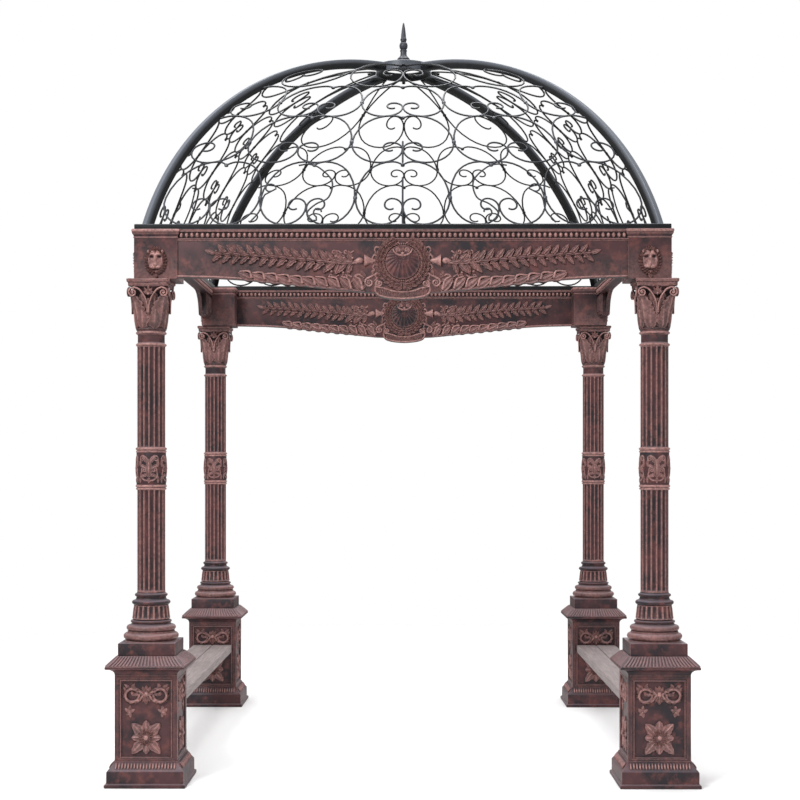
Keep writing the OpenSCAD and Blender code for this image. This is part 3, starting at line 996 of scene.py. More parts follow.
@dataclass
class ColumnShaft:
    """Two lengths of fluting with a banded medallion between them."""

    low: float = 978.0
    high: float = 2323.0
    radius: float = 72.0
    flutes: int = 16
    cut: float = 8.5
    ring_levels: tuple[float, ...] = (1517.0, 1709.0, 2251.0, 2312.0)
    band: tuple[float, float] = (1524.0, 1702.0)

    def build(self) -> Clay:
        """The fluted lengths, rings and band relief."""
        clay = Clay()
        for low, high in ((self.low, 1510), (1716, 2246)):
            ends = [(0, 0), (7, 0), (8, 0.35), (11, 0.65), (16, 0.87), (24, 1)]
            rows = [(low + h, c) for h, c in ends] + [((low + high) / 2, 1)]
            rows += [(high - h, c) for h, c in reversed(ends)]
            clay.lathe(np.array([(self.radius, z, c * self.cut) for z, c in rows]), self.flutes,
                       (0.0, 0.05, 0.1, 0.14, 0.2, 0.3, 0.42, 0.58, 0.7, 0.8, 0.86, 0.9, 0.95), rub=0.62)
        for level in self.ring_levels:
            pairs = ((-8, 5.5), (6, 7)) if level < 2000 else ((0, 6),)
            outline = curve_points([(66, level - 15)],
                                   *[torus(self.radius + 1, level + h, s, 6) for h, s in pairs],
                                   [(66, level + 15)])
            clay.lathe(outline, rub=np.clip((outline[:, 0] - 66) / 14, 0, 0.9))
        a, b = self.band
        clay.lathe(np.array([(64, a), (73, a), (75.5, a + 6), (76, (a + b) / 2), (75.5, b - 6), (73, b),
                             (64, b)]), rub=-0.1)
        clay.lathe(np.array([(60, 2255), (69, 2258), (69, 2303), (73, 2308), (73, 2323), (60, 2323)]),
                   rub=0.2)
        relief = self.medallion()
        for turn in (0, 90, 180, 270):
            clay.add(relief, then(lambda p: p * np.array([1, 1, 0.7]), wrapped(75.5, (a + b) / 2, turn)))
        return clay

    def medallion(self) -> Clay:
        """A quarter of the band: a lobed leaf between scrolls."""
        half = Clay()
        stem = np.concatenate([smooth([(4, -62), (26, -58), (44, -36), (40, -14)], 4),
                               coil(26, -8, 15, 20, 1.3, 1)])
        half.tube(stem, np.linspace(4.2, 2.4, len(stem)), None, 6, 1)
        top = np.concatenate([smooth([(2, 30), (12, 54), (30, 66)], 4), coil(36, 50, 16, 100, 1.2, -1)])
        half.tube(top, np.linspace(4, 2.2, len(top)), None, 6, 1)
        half.leaf(6, 30, 62, 44, 20, 6, -0.2, 2)
        half.leaf(8, -4, 28, 44, 20, 6, 0.1, 2)
        half.leaf(8, -28, -30, 40, 17, 6, 0.2, 2)
        half.leaf(46, 10, 80, 42, 13, 5, 0.2, 0)
        half.leaf(48, -40, -80, 34, 12, 5, -0.2, 0)
        clay = both_ways(half)
        clay.leaf(0, -42, 90, 92, 34, 9, 0, 4, 2, 15)
        clay.leaf(0, -48, -90, 26, 14, 6)
        clay.bead(0, 2, 6, 8, 12)
        return clay


@dataclass
class Capital:
    """A bell with two rows of leaves, corner scrolls and a hollow-sided top plate."""

    low: float = 2323.0
    high: float = 2584.0
    bell: tuple[float, float] = (73.0, 86.0)
    plate: float = 230.0
    scroll_r: float = 24.0

    def build(self) -> Clay:
        """The bell, its leaves, the scrolls and the plate."""
        clay = Clay()
        z = self.low
        bell = curve_points([(self.bell[0], z)], torus(self.bell[0], z + 7, 5, 4), [(self.bell[0], z + 14)],
                            [(70, z + 30), (72, z + 120), (78, z + 180), (self.bell[1], z + 214),
                             (92, z + 221), (92, z + 226)])
        clay.lathe(bell, sides=48, rub=0.05)
        small, large, middle, face = self.small_leaf(), self.large_leaf(), self.middle_leaf(), self.scrolls()
        for i in range(8):
            clay.add(small, wrapped(74, z + 14, 45 * i + 22.5))
            clay.add(middle, then(moved(0, -26, -3), wrapped(74, z + 50, 45 * i)))
        for i in range(4):
            clay.add(large, wrapped(75, z + 44, 90 * i + 45))
            clay.add(middle, wrapped(76, z + 56, 90 * i))
            for side in (-1, 1):
                clay.add(middle, then(lambda p: p * np.array([0.8, 0.92, 1.15]),
                                      wrapped(76, z + 92, 90 * i + 21 * side)))
            clay.add(face, wall(0, 90 * i))
        for inset, low, high in ((11, 222, 243), (4, 243, 261)):
            clay.add(self.layer(inset, z + low, z + high), moved(0, 0, 0))
        return clay

    def layer(self, inset: float, low: float, high: float) -> Clay:
        """One layer of the top plate, with hollow sides.

        Args:
            inset: how far it stays within the plate's size.
            low: its underside.
            high: its top.

        Returns:
            The layer.
        """
        half = self.plate / 2 - inset
        side = [(x, -half + 13 * (1 - (x / (half - 12)) ** 2)) for x in np.linspace(-(half - 12), half - 12,
                11)]
        ring = []
        for angle in (0, 90, 180, 270):
            c, s = math.cos(math.radians(angle)), math.sin(math.radians(angle))
            ring += [(x * c - y * s, x * s + y * c) for x, y in side]
        ring = np.array(ring)
        clay = Clay()
        levels = [(low, 0.965), (low + 3, 0.99), (high - 6, 1.0), (high - 2, 1.0), (high, 0.985)]
        clay.loft(np.stack([np.column_stack([ring * k, np.full(len(ring), z)]) for z, k in levels]),
                  [0.1, 0.6, 0.5, 0.6, 0.3])
        return clay

    def small_leaf(self) -> Clay:
        """A leaf of the lower row, standing on height 0."""
        clay = Clay()
        clay.leaf(0, 0, 90, 94, 66, 13, 0, 4, 14, 13)
        return clay

    def middle_leaf(self) -> Clay:
        """A leaf of the upper row, at the middle of a face."""
        clay = Clay()
        clay.leaf(0, 0, 90, 106, 62, 12, 0, 4, 13, 13)
        return clay

    def large_leaf(self) -> Clay:
        """A corner leaf of the upper row, rolling out under the scrolls."""
        clay = Clay()
        clay.leaf(0, 0, 90, 138, 92, 15, 0, 5, 40, 16)
        clay.bead(0, 132, 17, 8, 9, 46, 12, 7, 0.8)
        clay.leaf(-18, 30, 100, 70, 30, 8, 0.2, 2, 14)
        clay.leaf(18, 30, 80, 70, 30, 8, -0.2, 2, 14)
        return clay

    def scrolls(self) -> Clay:
        """The stems and scrolls of one face and the flower over them, on a wall at distance 0."""
        z = self.low
        half = Clay()
        flat = np.concatenate([smooth([(3, z + 88), (5, z + 130), (18, z + 168), (44, z + 204),
                                       (70, z + 216)], 5),
                               coil(78, z + 190, self.scroll_r, 92, 1.75, -1)])
        out = np.interp(flat[:, 0], [0, 40, 78, 110], [97, 99, 102, 105])
        half.tube(np.column_stack([flat, out]), np.interp(np.arange(len(flat)), [0, 20, len(flat)],
                                                          [4, 5.4, 3.2]),
                  None, 8, 1.2, (0.15, 0.95))
        half.bead(78, z + 190, 6, 6, 8, 99, 10)
        half.leaf(10, z + 120, 55, 46, 17, 88, 0.1)
        for angle, length in ((64, 34), (30, 30)):
            half.leaf(2, z + 176, angle, length, 13, 8, 0.1)
        clay = Clay()
        face = both_ways(half)
        clay.add(face, moved(0, 0, 0))
        flower = Clay()
        for angle, length in ((90, 42), (58, 38), (122, 38), (26, 30), (154, 30)):
            flower.leaf(0, 0, angle, length, 15, 8, 0, 0, 3)
        flower.bead(0, 0, 8, 8, 10)
        clay.add(flower, moved(0, z + 184, 88))
        return clay


@dataclass
class CornerBlock:
    """The block over a capital, with the cornice that runs round its outer sides."""

    half: float = 111.0
    low: float = 2584.0
    high: float = 2840.0
    out: float = 11.5

    def build(self) -> Clay:
        """The block and its moulding."""
        clay = Clay()
        h, z = self.half, self.high
        clay.square(curve_points([(h - 2, self.low), (h, self.low + 2), (h, z - 48), (h - 0.5, z - 2),
                                  (h - 3, z)]),
                    [0.2, 0.4, 0.15, 0.15, 0.2])
        lower = [(h - 4, z - 46), (h + 3, z - 45), (h + 3, z - 40), (h + 1, z - 38), (h + 2, z - 33),
                 (h + 6, z - 27), (h + 9, z - 22), (h + 9, z - 17)]
        upper = [(h + self.out - 2, z - 15), (h + self.out, z - 12), (h + self.out, z - 4),
                 (h + self.out - 3, z), (h - 4, z)]
        clay.square(curve_points(lower, upper), [0, 0.5, 0.5, 0.05, 0.1, 0.3, 0.5, 0.2, 0.5, 0.8, 0.8, 0.4,
                                                 0])
        return clay


@dataclass
class LionMask:
    """A lion's head with its mane, cast in one with a small drop under the chin."""

    proud: float = 31.0

    def build(self) -> Clay:
        """The head on a board, x across and y up from the middle of the face."""
        clay = Clay()
        rows, cols = 26, 72
        a = np.linspace(0, 2 * math.pi, cols, endpoint=False)
        rim = 45 + 2.5 * np.cos(a * 9 + 0.6)
        t = np.linspace(0.04, 1.0, rows)[:, None]
        x, y = t * rim * np.cos(a), t * rim * np.sin(a) * 1.4 - 6
        high, wear = self.relief(x, y)
        edge = np.clip((1 - t) / 0.12, 0, 1) ** 0.5
        rings = np.stack([x, y, 3 + (high - 3) * edge], axis=-1)
        back = rings[-1:].copy()
        back[:, :, 2] = -1
        clay.loft(np.concatenate([rings, back]), np.concatenate([wear, wear[-1:] * 0]))
        self.mane(clay)
        return clay

    def relief(self, x: np.ndarray, y: np.ndarray) -> tuple[np.ndarray, np.ndarray]:
        """How proud the head stands and how bright it is rubbed.

        Args:
            x: places across.
            y: places up.

        Returns:
            Heights, and wear from 0 to 1.
        """
        s = np.abs(x)

        def bump(cx: float, cy: float, rx: float, ry: float) -> np.ndarray:
            """A soft swelling on both sides of the middle."""
            return np.exp(-((s - cx) / rx) ** 2 - ((y - cy) / ry) ** 2)

        skull = 9 * np.clip(1 - (s / 48) ** 2.6 - (np.abs(y + 6) / 66) ** 3, 0, 1) ** 0.6
        high = (skull + 8 * bump(16, 42, 12, 10) - 5 * bump(0, 42, 4, 14) + 7 * bump(19, 27, 14, 5)
                - 12 * bump(19, 16, 9, 6) + 3 * bump(19, 15, 4, 3) + 13 * bump(0, 4, 9, 32)
                + 7 * bump(0, -25, 11, 6) - 4 * bump(7, -30, 2.6, 2.2) + 10 * bump(15, -38, 13, 10)
                - 4 * bump(0, -40, 2.2, 8) - 13 * bump(0, -51, 19, 4.5) - 5 * bump(24, -48, 6, 6)
                + 8 * bump(0, -61, 14, 6) + 5 * bump(34, -4, 7, 22) + 1.2 * np.cos(s * 0.9) * bump(16, -38,
                        9, 6))
        wear = np.clip((high - 2) / 15, 0, 1) ** 0.8
        return np.clip(high, 1, self.proud), wear

    def mane(self, clay: Clay) -> None:
        """Adds two rows of locks, the ears and the drop.

        Args:
            clay: what they are added to.
        """
        for count, reach, length, width, turn, z in ((26, 41, 20, 13, 0.0, 8), (24, 37, 16, 12, 7.0, 13)):
            for i in range(count):
                angle = 90 + turn + 360 * i / count
                a = math.radians(angle)
                lock = Clay()
                sway = 0.28 if math.cos(a) > 0 else -0.28
                lock.leaf(0, 0, angle + (12 if sway > 0 else -12), length, width, z + 6, sway, 0, 0, 5)
                clay.add(lock, moved(reach * math.cos(a), reach * math.sin(a) * 1.36 - 4, 0))
        ears = Clay()
        ears.bead(36, 42, 8, 10, 12, 7, 10, 7, 0.9)
        clay.add(both_ways(ears), moved(0, 0, 0))
        clay.leaf(0, -68, -90, 28, 22, 12, 0, 0, 2)
        clay.bead(0, -93, 4, 5, 7, 2)


@dataclass
class Columns:
    """The four corners, from the ground to the top of the blocks."""

    axis: float = 1300.0
    block_axis: float = 1265.0
    mask_z: float = 2681.0
    turns: tuple[tuple[str, float], ...] = (("front_left", 0), ("front_right", 90), ("back_right", 180),
                                            ("back_left", 270))

    def dress(self) -> None:
        """Models each kind once and stands it at the four corners."""
        kinds = [("pedestal", Pedestal()), ("column_base", ColumnBase()), ("column_shaft", ColumnShaft()),
                 ("capital", Capital())]
        for kind, maker in kinds:
            mesh = maker.build().mesh(kind)
            for corner, turn in self.turns:
                side_x, side_y = CORNERS[corner]
                pieces_of(mesh, f"cast_{kind}_{corner}", CAST, [f"{kind}_{corner}"],
                          (side_x * self.axis, side_y * self.axis, 0), turn)
        block = CornerBlock().build().mesh("corner_block")
        heads = Clay()
        head = LionMask().build()
        for angle in (0, 270):
            heads.add(head, wall(CornerBlock.half, angle, self.mask_z))
        masks = heads.mesh("lion_masks")
        for corner, turn in self.turns:
            side_x, side_y = CORNERS[corner]
            place = (side_x * self.block_axis, side_y * self.block_axis, 0)
            pieces_of(block, f"cast_block_{corner}", CAST, [f"corner_block_{corner}"], place, turn)
            pieces_of(masks, f"cast_masks_{corner}", CAST, [f"lion_masks_{corner}"], place, turn)


# ---------------------------------------------------------------- beams


@dataclass
class BeamOrnament:
    """The relief of a deep beam, on a board with x from the middle and y as the height."""

    wreath_z: float = 2670.0
    end: float = 1154.0
    edge_x: tuple[float, ...] = (0.0, 192.0, 295.0, 525.0, 822.0, 960.0, 1154.0)
    edge_z: tuple[float, ...] = (2509.0, 2517.0, 2527.0, 2553.0, 2583.0, 2591.0, 2595.0)
    lobe_half: float = 138.0
    lobe_drop: float = 36.0

    def edge(self, x: float) -> float:
        """Height of the lower edge, without the lobe.

        Args:
            x: place along the beam.

        Returns:
            The height.
        """
        return float(np.interp(abs(x), self.edge_x, self.edge_z))

    def lobe(self, x: float) -> float:
        """Height of the lower edge with the lobe."""
        t = abs(x) / self.lobe_half
        return self.edge(x) if t >= 1 else 2516 - self.lobe_drop * math.sqrt(1 - t * t)

    def build(self) -> Clay:
        """All the relief of one face."""
        clay = both_ways(self.right_half())
        clay.add(self.shell(), moved(0, self.wreath_z, 0))
        clay.add(self.cartouche(), moved(0, 0, 0))
        for low, high, proud in ((2825, 2840, 7), (2779, 2784, 3), (2785, 2793, 5.5)):
            clay.add(self.fillet(low, high, proud), moved(0, 0, 0))
        self.beads(clay)
        return clay

    def beads(self, clay: Clay) -> None:
        """Adds the row of beads with the dark hollow behind it.

        Args:
            clay: what they are added to.
        """
        hollow = np.array([[(x, y, z) for y, z in ((2794, -1), (2794, 0.4), (2824, 0.4), (2824, -1))]
                           for x in np.linspace(-self.end, self.end, 5)])
        clay.loft(hollow, -0.8)
        for i in range(-42, 43):
            clay.bead(i * 27, 2809, 9.6, 13.5, 10, 0, 8, 6, 1.0)

    def fillet(self, low: float, high: float, proud: float) -> Clay:
        """A straight moulding along the beam.

        Args:
            low: its lower edge.
            high: its upper edge.
            proud: how far it stands off the face.

        Returns:
            The moulding.
        """
        section = [(low, -1), (low, proud * 0.6), (low + 1.5, proud), (high - 1.5, proud),
                   (high, proud * 0.7), (high, -1)]
        rings = np.array([[(x, y, z) for y, z in section] for x in np.linspace(-self.end, self.end, 13)])
        clay = Clay()
        clay.loft(rings, np.broadcast_to([-0.3, 0.2, 0.5, 0.45, 0.2, -0.2], rings.shape[:2]))
        return clay

    def right_half(self) -> Clay:
        """What is mirrored: laurel, bell flower, garland and the leaves along the lower edge."""
        clay = Clay()
        self.laurel(clay)
        self.flowers(clay)
        self.garland(clay)
        self.border(clay)
        return clay

    def laurel(self, clay: Clay) -> None:
        """Adds half the wreath: beads, laurel leaves in threes, berries and ribbon ends.

        Args:
            clay: what it is added to.
        """
        y0 = self.wreath_z
        for i in range(25):
            a = math.radians(-86.4 + 7.2 * i)
            clay.bead(95 * math.cos(a), y0 + 95 * math.sin(a), 4.6, 4.6, 6.5, 1, 6, 4, 0.9)
        core = np.array([(114 * math.cos(a), y0 + 114 * math.sin(a)) for a in np.radians(np.linspace(-88,
                62, 24))])
        clay.tube(core, 11, None, 8, 0.7, (0.0, 0.2))
        for i in range(13):
            angle = -84 + 11.8 * i
            a = math.radians(angle)
            for reach, lean, length, high in ((106, 20, 34, 12), (122, -24, 40, 12), (114, 0, 38, 18)):
                clay.leaf(reach * math.cos(a), y0 + reach * math.sin(a), angle + 90 + lean, length, 18,
                          high, 0, 0, 3, 6)
            clay.bead(127 * math.cos(a + 0.1), y0 + 127 * math.sin(a + 0.1), 5, 5, 7, 2, 6, 4, 0.9)
        for angle, x, y in ((70, 62, 94), (20, 78, 98), (118, 46, 92)):
            clay.leaf(x, y0 + y, angle, 30, 15, 9, 0.2, 0, 2, 7)
        clay.tube(smooth([(20, y0 + 102), (34, y0 + 96), (50, y0 + 104), (66, y0 + 92)], 5),
                  np.linspace(5.5, 3, 16), None, 6, 0.9, (0.1, 0.95))
        for angle, length, width in ((-22, 44, 20), (6, 46, 20), (36, 42, 18), (-58, 30, 15)):
            clay.leaf(6, y0 - 126, angle, length, width, 11, 0.18, 2, 3)
        for k, (x, y) in enumerate(((132, 62), (142, 20), (140, -28), (128, -70))):
            curl = smooth([(x - 12, y0 + y + 12), (x + 4, y0 + y + 16), (x + 12, y0 + y),
                           (x + 4, y0 + y - 12), (x + 16, y0 + y - 26)], 4)
            clay.tube(curl, np.linspace(5 + k % 2, 2.6, len(curl)), None, 6, 0.8, (0.1, 0.9))

    def flowers(self, clay: Clay) -> None:
        """Adds the bell flower, its bud and the volute below it.

        Args:
            clay: what they are added to.
        """
        y = 2678
        clay.tube(np.array([(140, y), (150, y), (160, y), (172, y), (184, y), (192, y), (196, y)]),
                  [7, 9, 12, 17, 25, 30, 31], None, 16, 0.62, (0.3, 1.0))
        clay.tube(np.array([(200, y), (206, y), (214, y), (224, y), (233, y), (240, y), (250, y)]),
                  [5, 11, 15, 16, 12, 6, 2], None, 14, 0.8, (0.3, 1.0))
        spiral = np.concatenate([smooth([(120, 2616), (142, 2606), (168, 2594)], 4),
                                 coil(171, 2566, 25, 92, 1.8, -1)])
        clay.tube(spiral, np.interp(np.arange(len(spiral)), [0, 10, len(spiral)], [4, 6.4, 3.2]), None, 8,
                  1.1)
        clay.bead(171, 2566, 5.5, 5.5, 9, 0)
        for px, py, angle, length in ((196, 2572, 20, 46), (190, 2592, 48, 42), (188, 2548, -16, 44),
                                      (150, 2600, 75, 34)):
            clay.leaf(px, py, angle, length, 18, 9, 0.15, 2, 2)
        tail = smooth([(196, 2588), (222, 2606), (246, 2596), (258, 2572), (284, 2566)], 5)
        clay.tube(tail, np.interp(np.arange(len(tail)), [0, 8, len(tail)], [4, 7, 3]), None, 6, 0.7)

    def garland(self, clay: Clay) -> None:
        """Adds the leafy stem that runs towards the corner.

        Args:
            clay: what it is added to.
        """
        stem = smooth([(232, 2668), (300, 2664), (380, 2672), (520, 2686), (680, 2699), (830, 2708),
                       (965, 2715)], 7)
        clay.tube(stem, np.linspace(7.5, 3.2, len(stem)), None, 8, 0.9, (0.1, 0.75))
        for first, count, tilt, side, length, width in ((380, 12, 44, 1, 74, 31), (356, 13, -36, -1, 72, 29),
                                                        (396, 12, 6, 0, 54, 24)):
            for i in range(count):
                x = first + 48 * i
                y = float(np.interp(x, stem[:, 0], stem[:, 1]))
                shrink = 1 - 0.2 * i / count
                clay.leaf(x, y + side * 3, tilt + 5 * math.sin(i * 1.7), length * shrink, width * shrink,
                          13 if side else 17, side * 0.14, 3 if side else 0, 4, 10 if side else 7)
                clay.bead(x + 24, y - (side or 1) * 14, 6, 6, 9, 2, 6, 4, 1.0)
        clay.leaf(958, 2715, 12, 60, 20, 8, 0.1, 0, 2)
        for x, y, angle, length in ((262, 2676, 64, 56), (286, 2672, 36, 62), (322, 2674, 60, 64),
                                    (350, 2678, 38, 66),
                                    (262, 2660, -60, 54), (292, 2656, -34, 60), (322, 2660, -58, 58),
                                    (348, 2664, -30, 66), (300, 2668, 8, 58), (252, 2668, 2, 50)):
            clay.leaf(x, y, angle, length, 28, 13, 0.15 if angle > 0 else -0.15, 3, 4, 11)
        for x, y in ((256, 2692), (270, 2700), (276, 2624), (304, 2616), (330, 2694), (340, 2700),
                     (300, 2690), (372, 2700), (364, 2622), (384, 2630)):
            clay.bead(x, y, 7, 7, 9, 2, 9, 6, 0.95)
        for x, y, hand in ((290, 2724, 1), (352, 2720, -1), (300, 2598, -1), (366, 2600, 1)):
            curl = np.concatenate([smooth([(x - 40, y + hand * 4), (x - 18, y - hand * 10)], 4),
                                   coil(x, y, 14, 200, 1.2, hand)])
            clay.tube(curl, np.linspace(4.6, 2.4, len(curl)), None, 6, 1)

    def border(self, clay: Clay) -> None:
        """Adds the slanted leaves and the thin mouldings along the lower edge.

        Args:
            clay: what they are added to.
        """
        x = 196.0
        while x < 800:
            share = (x - 196) / 604
            length = 88 - 8 * share
            angle = 52 - 26 * min(share * 2.2, 1)
            y = self.edge(x) + 9
            clay.leaf(x + 4, y - 2, angle - 8, length, 42 - 6 * share, 14, 0.1, 0, 5, 9)
            rim = smooth([(x + 8, y + 2), (x + 0.25 * length,
                                           y + 0.62 * length * math.sin(math.radians(angle + 20))),
                          (x + length * math.cos(math.radians(angle)) * 0.98,
                           y + length * math.sin(math.radians(angle)) * 1.02)], 5)
            clay.tube(np.column_stack([rim, np.full(len(rim), 5.0)]), np.linspace(8, 4, len(rim)), None, 8,
                      1.1, (0.2, 0.9))
            x += 60 + 8 * share
        path = np.array([(v, self.edge(v) + 4.5) for v in np.linspace(196, self.end - 2, 26)])
        clay.tube(path, 4.5, None, 8, 1.0, (0.1, 0.8))

    def shell(self) -> Clay:
        """The fanned shell in the wreath, with its crescent and small scrolls."""
        clay = Clay()
        rows, cols = 13, 160
        a = np.linspace(0, 2 * math.pi, cols, endpoint=False)
        t = np.linspace(0.03, 1, rows)[:, None]
        x, y = 87 * t * np.cos(a), 87 * t * np.sin(a)
        fan = np.arctan2(x, 42 - y)
        far = np.hypot(x, 42 - y)
        rib = np.abs(np.cos(fan * 13))
        high = 4 + 8 * np.sqrt(np.clip(1 - t * t, 0, 1)) + 4.5 * (rib - 0.5) * np.clip(far / 40, 0, 1)
        rim = np.clip((t - 0.9) / 0.04, 0, 1)
        high = high * (1 - rim) + 7 * rim
        wear = (0.6 * rib * np.clip(far / 50, 0, 1) - 0.3) * (1 - rim) + 0.4 * rim
        rings = np.stack([x, y, high], axis=-1)
        back = rings[-1:] * np.array([1, 1, 0]) + np.array([0, 0, -1])
        clay.loft(np.concatenate([rings, back]), np.concatenate([wear, wear[-1:] * 0]))
        half = Clay()
        moon = smooth([(0, 34), (22, 36), (42, 50), (50, 68)], 5)
        half.tube(np.column_stack([moon, np.full(len(moon), 11)]), np.linspace(6.5, 3, len(moon)), None, 8, 1)
        roll = coil(22, 62, 13, -60, 1.5, 1)
        half.tube(np.column_stack([roll, np.full(len(roll), 8)]), np.linspace(4.5, 2.6, len(roll)), None, 6,
                  1)
        pair = both_ways(half)
        clay.add(pair, moved(0, 0, 0))
        clay.bead(0, 42, 9, 10, 9, 13, 12, 7)
        clay.leaf(0, 46, 90, 34, 18, 15, 0, 0, 2)
        return clay

    def cartouche(self) -> Clay:
        """The scroll that hangs under the wreath."""
        half = Clay()
        roll = coil(118, 2562, 18, 60, 1.7, -1)
        half.tube(roll, np.linspace(6, 3.2, len(roll)), None, 8, 1.2)
        half.bead(118, 2562, 5, 5, 9)
        upper = smooth([(127, 2578), (138, 2560), (132, 2544), (101, 2538), (52, 2523), (0, 2517)], 5)
        half.tube(upper, 4.8, None, 8, 1.3, (0.1, 0.95))
        lower = smooth([(139, 2548), (140, 2524), (120, 2502), (67, 2489), (0, 2484)], 5)
        half.tube(lower, 4.8, None, 8, 1.3, (0.1, 0.95))
        for x in np.arange(4.5, 126, 9):
            top = float(np.interp(x, [0, 52, 101, 134], [2515, 2521, 2536, 2544]))
            low = float(np.interp(x, [0, 67, 120, 140], [2488, 2493, 2506, 2526]))
            half.tube(np.array([(x, low), (x * 0.985, (low + top) / 2), (x * 0.97, top)]), 3, None, 6, 1.0,
                      (0.0, 0.5))
        return both_ways(half)


@dataclass
class DeepBeam:
    """The front or the back beam: a plate that sags to a lobe, with relief on both faces."""

    outer: float = 1368.0
    inner: float = 1308.0
    top: float = 2840.0
    end: float = 1154.0

    def build(self) -> Clay:
        """The plate and its relief, as it stands at the front."""
        ornament = BeamOrnament()
        xs = np.unique(np.concatenate([np.linspace(-self.end, self.end, 61), np.linspace(-140, 140, 41)]))
        rings = []
        for x in xs:
            low = ornament.lobe(x)
            section = [(self.inner + 1, self.top - 1), (self.outer - 1, self.top - 1),
                       (self.outer, self.top - 3),
                       (self.outer, low + 3), (self.outer - 3, low), (self.inner + 3, low),
                       (self.inner, low + 3), (self.inner, self.top - 3)]
            rings.append([(x, -y, z) for y, z in section])
        clay = Clay()
        # The inner face is marked a little below 0, so the casting finish paints it slightly darker: painted
        # shade inside the pavilion.
        clay.loft(np.array(rings), np.broadcast_to([-0.1, 0.1, 0.1, 0.3, 0.1, 0.0, -0.15, -0.15],
                                                   (len(xs), 8)))
        relief = ornament.build()
        clay.add(relief, wall(self.outer, 0))
        clay.add(relief, wall(-self.inner, 180))
        return clay


@dataclass
class SideBeam:
    """A side beam: a slim rail with a thin haunch at each end and a moulded frame inside."""

    outer: float = 1368.0
    inner: float = 1308.0
    top: float = 2840.0
    end: float = 1154.0
    rail: float = 55.0
    web: float = 16.0
    haunch: tuple[float, float] = (754.0, 988.0)
    foot: float = 2637.0

    def edge(self, x: float) -> float:
        """Height of the haunch's lower edge at a place along the beam."""
        a, b = self.haunch
        t = min(max((abs(x) - a) / (b - a), 0), 1)
        low = self.top - self.rail
        return low - (low - self.foot) * (1 - math.sqrt(1 - t**2.2)) if t < 1 else self.foot

    def build(self) -> Clay:
        """The rail, web and mouldings, as they stand at the front."""
        clay = Clay()
        low = self.top - self.rail
        self.run(clay, [-self.end, self.end], self.inner, self.outer - 2, lambda x: low)
        for side in (-1, 1):
            xs = np.linspace(740, self.end, 30) * side
            self.run(clay, sorted(xs), self.outer - self.web, self.outer, self.edge)
            frame_line = np.array([(x, self.edge(x) + 5) for x in sorted(xs)])
            line = Clay()
            line.tube(frame_line, 6, None, 8, 0.9, (-0.4, 0.5))
            clay.add(line, wall(self.outer, 0))
            clay.add(line, wall(-(self.outer - self.web), 180))
        inside = Clay()
        post, half = (self.haunch[1] + self.end) / 2, (self.end - self.haunch[1]) / 2
        for grow, proud, wear in ((0, 30, -0.2), (-9, 38, 0.3), (-20, 44, -0.3), (-30, 49, 0.3),
                                  (-40, 44, -0.4)):
            board = Clay()
            board.loft(rings_of([half + grow] * 2 + [half + grow - 2],
                                [self.foot - grow] * 2 + [self.foot - grow + 2],
                                [low + 6 + grow] * 2 + [low + 4 + grow], [0, proud - 2, proud]), wear)
            inside.add(board, moved(post, 0, 0))
        clay.add(both_ways(inside), wall(-(self.outer - self.web), 180))
        trim = BeamOrnament()
        rails = Clay()
        for y0, y1, proud in ((2825, 2840, 7), (2785, 2793, 5.5)):
            rails.add(trim.fillet(y0, y1, proud), moved(0, 0, 0))
        trim.beads(rails)
        clay.add(rails, wall(self.outer - 2, 0))
        clay.add(rails, wall(-self.inner, 180))
        return clay

    @staticmethod
    def run(clay: Clay, xs: Sequence[float], inner: float, outer: float,
            low: Callable[[float], float]) -> None:
        """Adds a plate along the beam.

        Args:
            clay: what it is added to.
            xs: places along the beam.
            inner: its inner face.
            outer: its outer face.
            low: height of its lower edge at a place.
        """
        top = SideBeam.top - 1
        rings = [[(x, -inner, top), (x, -outer, top), (x, -outer, low(x) + 2), (x, -outer + 2, low(x)),
                  (x, -inner - 2, low(x)), (x, -inner, low(x) + 2)] for x in xs]
        # The inner face and the underside are marked below 0, so the casting finish paints them dark: painted
        # shade under and inside the rail and webs.
        clay.loft(np.array(rings, float), np.broadcast_to([-0.5, -0.2, 0.1, -0.3, -0.6, -0.6], (len(xs), 6)))


@dataclass
class Beams:
    """All four beams, between the corner blocks."""

    def dress(self) -> None:
        """Models each kind once and turns it to its sides."""
        for names, maker in ((("front", "back"), DeepBeam()), (("left", "right"), SideBeam())):
            mesh = maker.build().mesh(f"beam_{names[0]}")
            for name in names:
                pieces_of(mesh, f"cast_beam_{name}", CAST, [f"beam_{name}"], turn=SIDES[name])


@dataclass
class Seats:
    """The two benches: planks from pedestal to pedestal."""

    planks: int = 2
    gap: float = 4.0
    ease: float = 5.0

    def dress(self) -> None:
        """Builds each seat's planks inside the place the frame gives it."""
        for name in ("seat_left", "seat_right"):
            low, high = span(name)
            wide = (high[0] - low[0] - self.gap * (self.planks - 1)) / self.planks
            clay = Clay()
            for i in range(self.planks):
                x0 = low[0] + i * (wide + self.gap)
                self.plank(clay, x0, x0 + wide, low, high)
            pieces_of(clay.mesh(name), f"wood_{name}", BOARD, [name])

    def plank(self, clay: Clay, x0: float, x1: float, low: np.ndarray, high: np.ndarray) -> None:
        """Adds one plank with eased edges.

        Args:
            clay: what it is added to.
            x0: its left edge.
            x1: its right edge.
            low: the seat's lowest corner.
            high: the seat's highest corner.
        """
        section = []
        for cx, cz, first in ((x1 - self.ease, high[2] - self.ease, 0),
                              (x0 + self.ease, high[2] - self.ease, 90),
                              (x0 + self.ease, low[2] + self.ease, 180),
                              (x1 - self.ease, low[2] + self.ease, 270)):
            for a in np.radians(first + np.linspace(0, 90, 4)):
                section.append((cx + self.ease * math.cos(a), cz + self.ease * math.sin(a)))
        rings = np.array([[(x, y, z) for x, z in section] for y in np.linspace(low[1], high[1], 9)])
        clay.loft(rings, 0.3)


# ---------------------------------------------------------------- dome


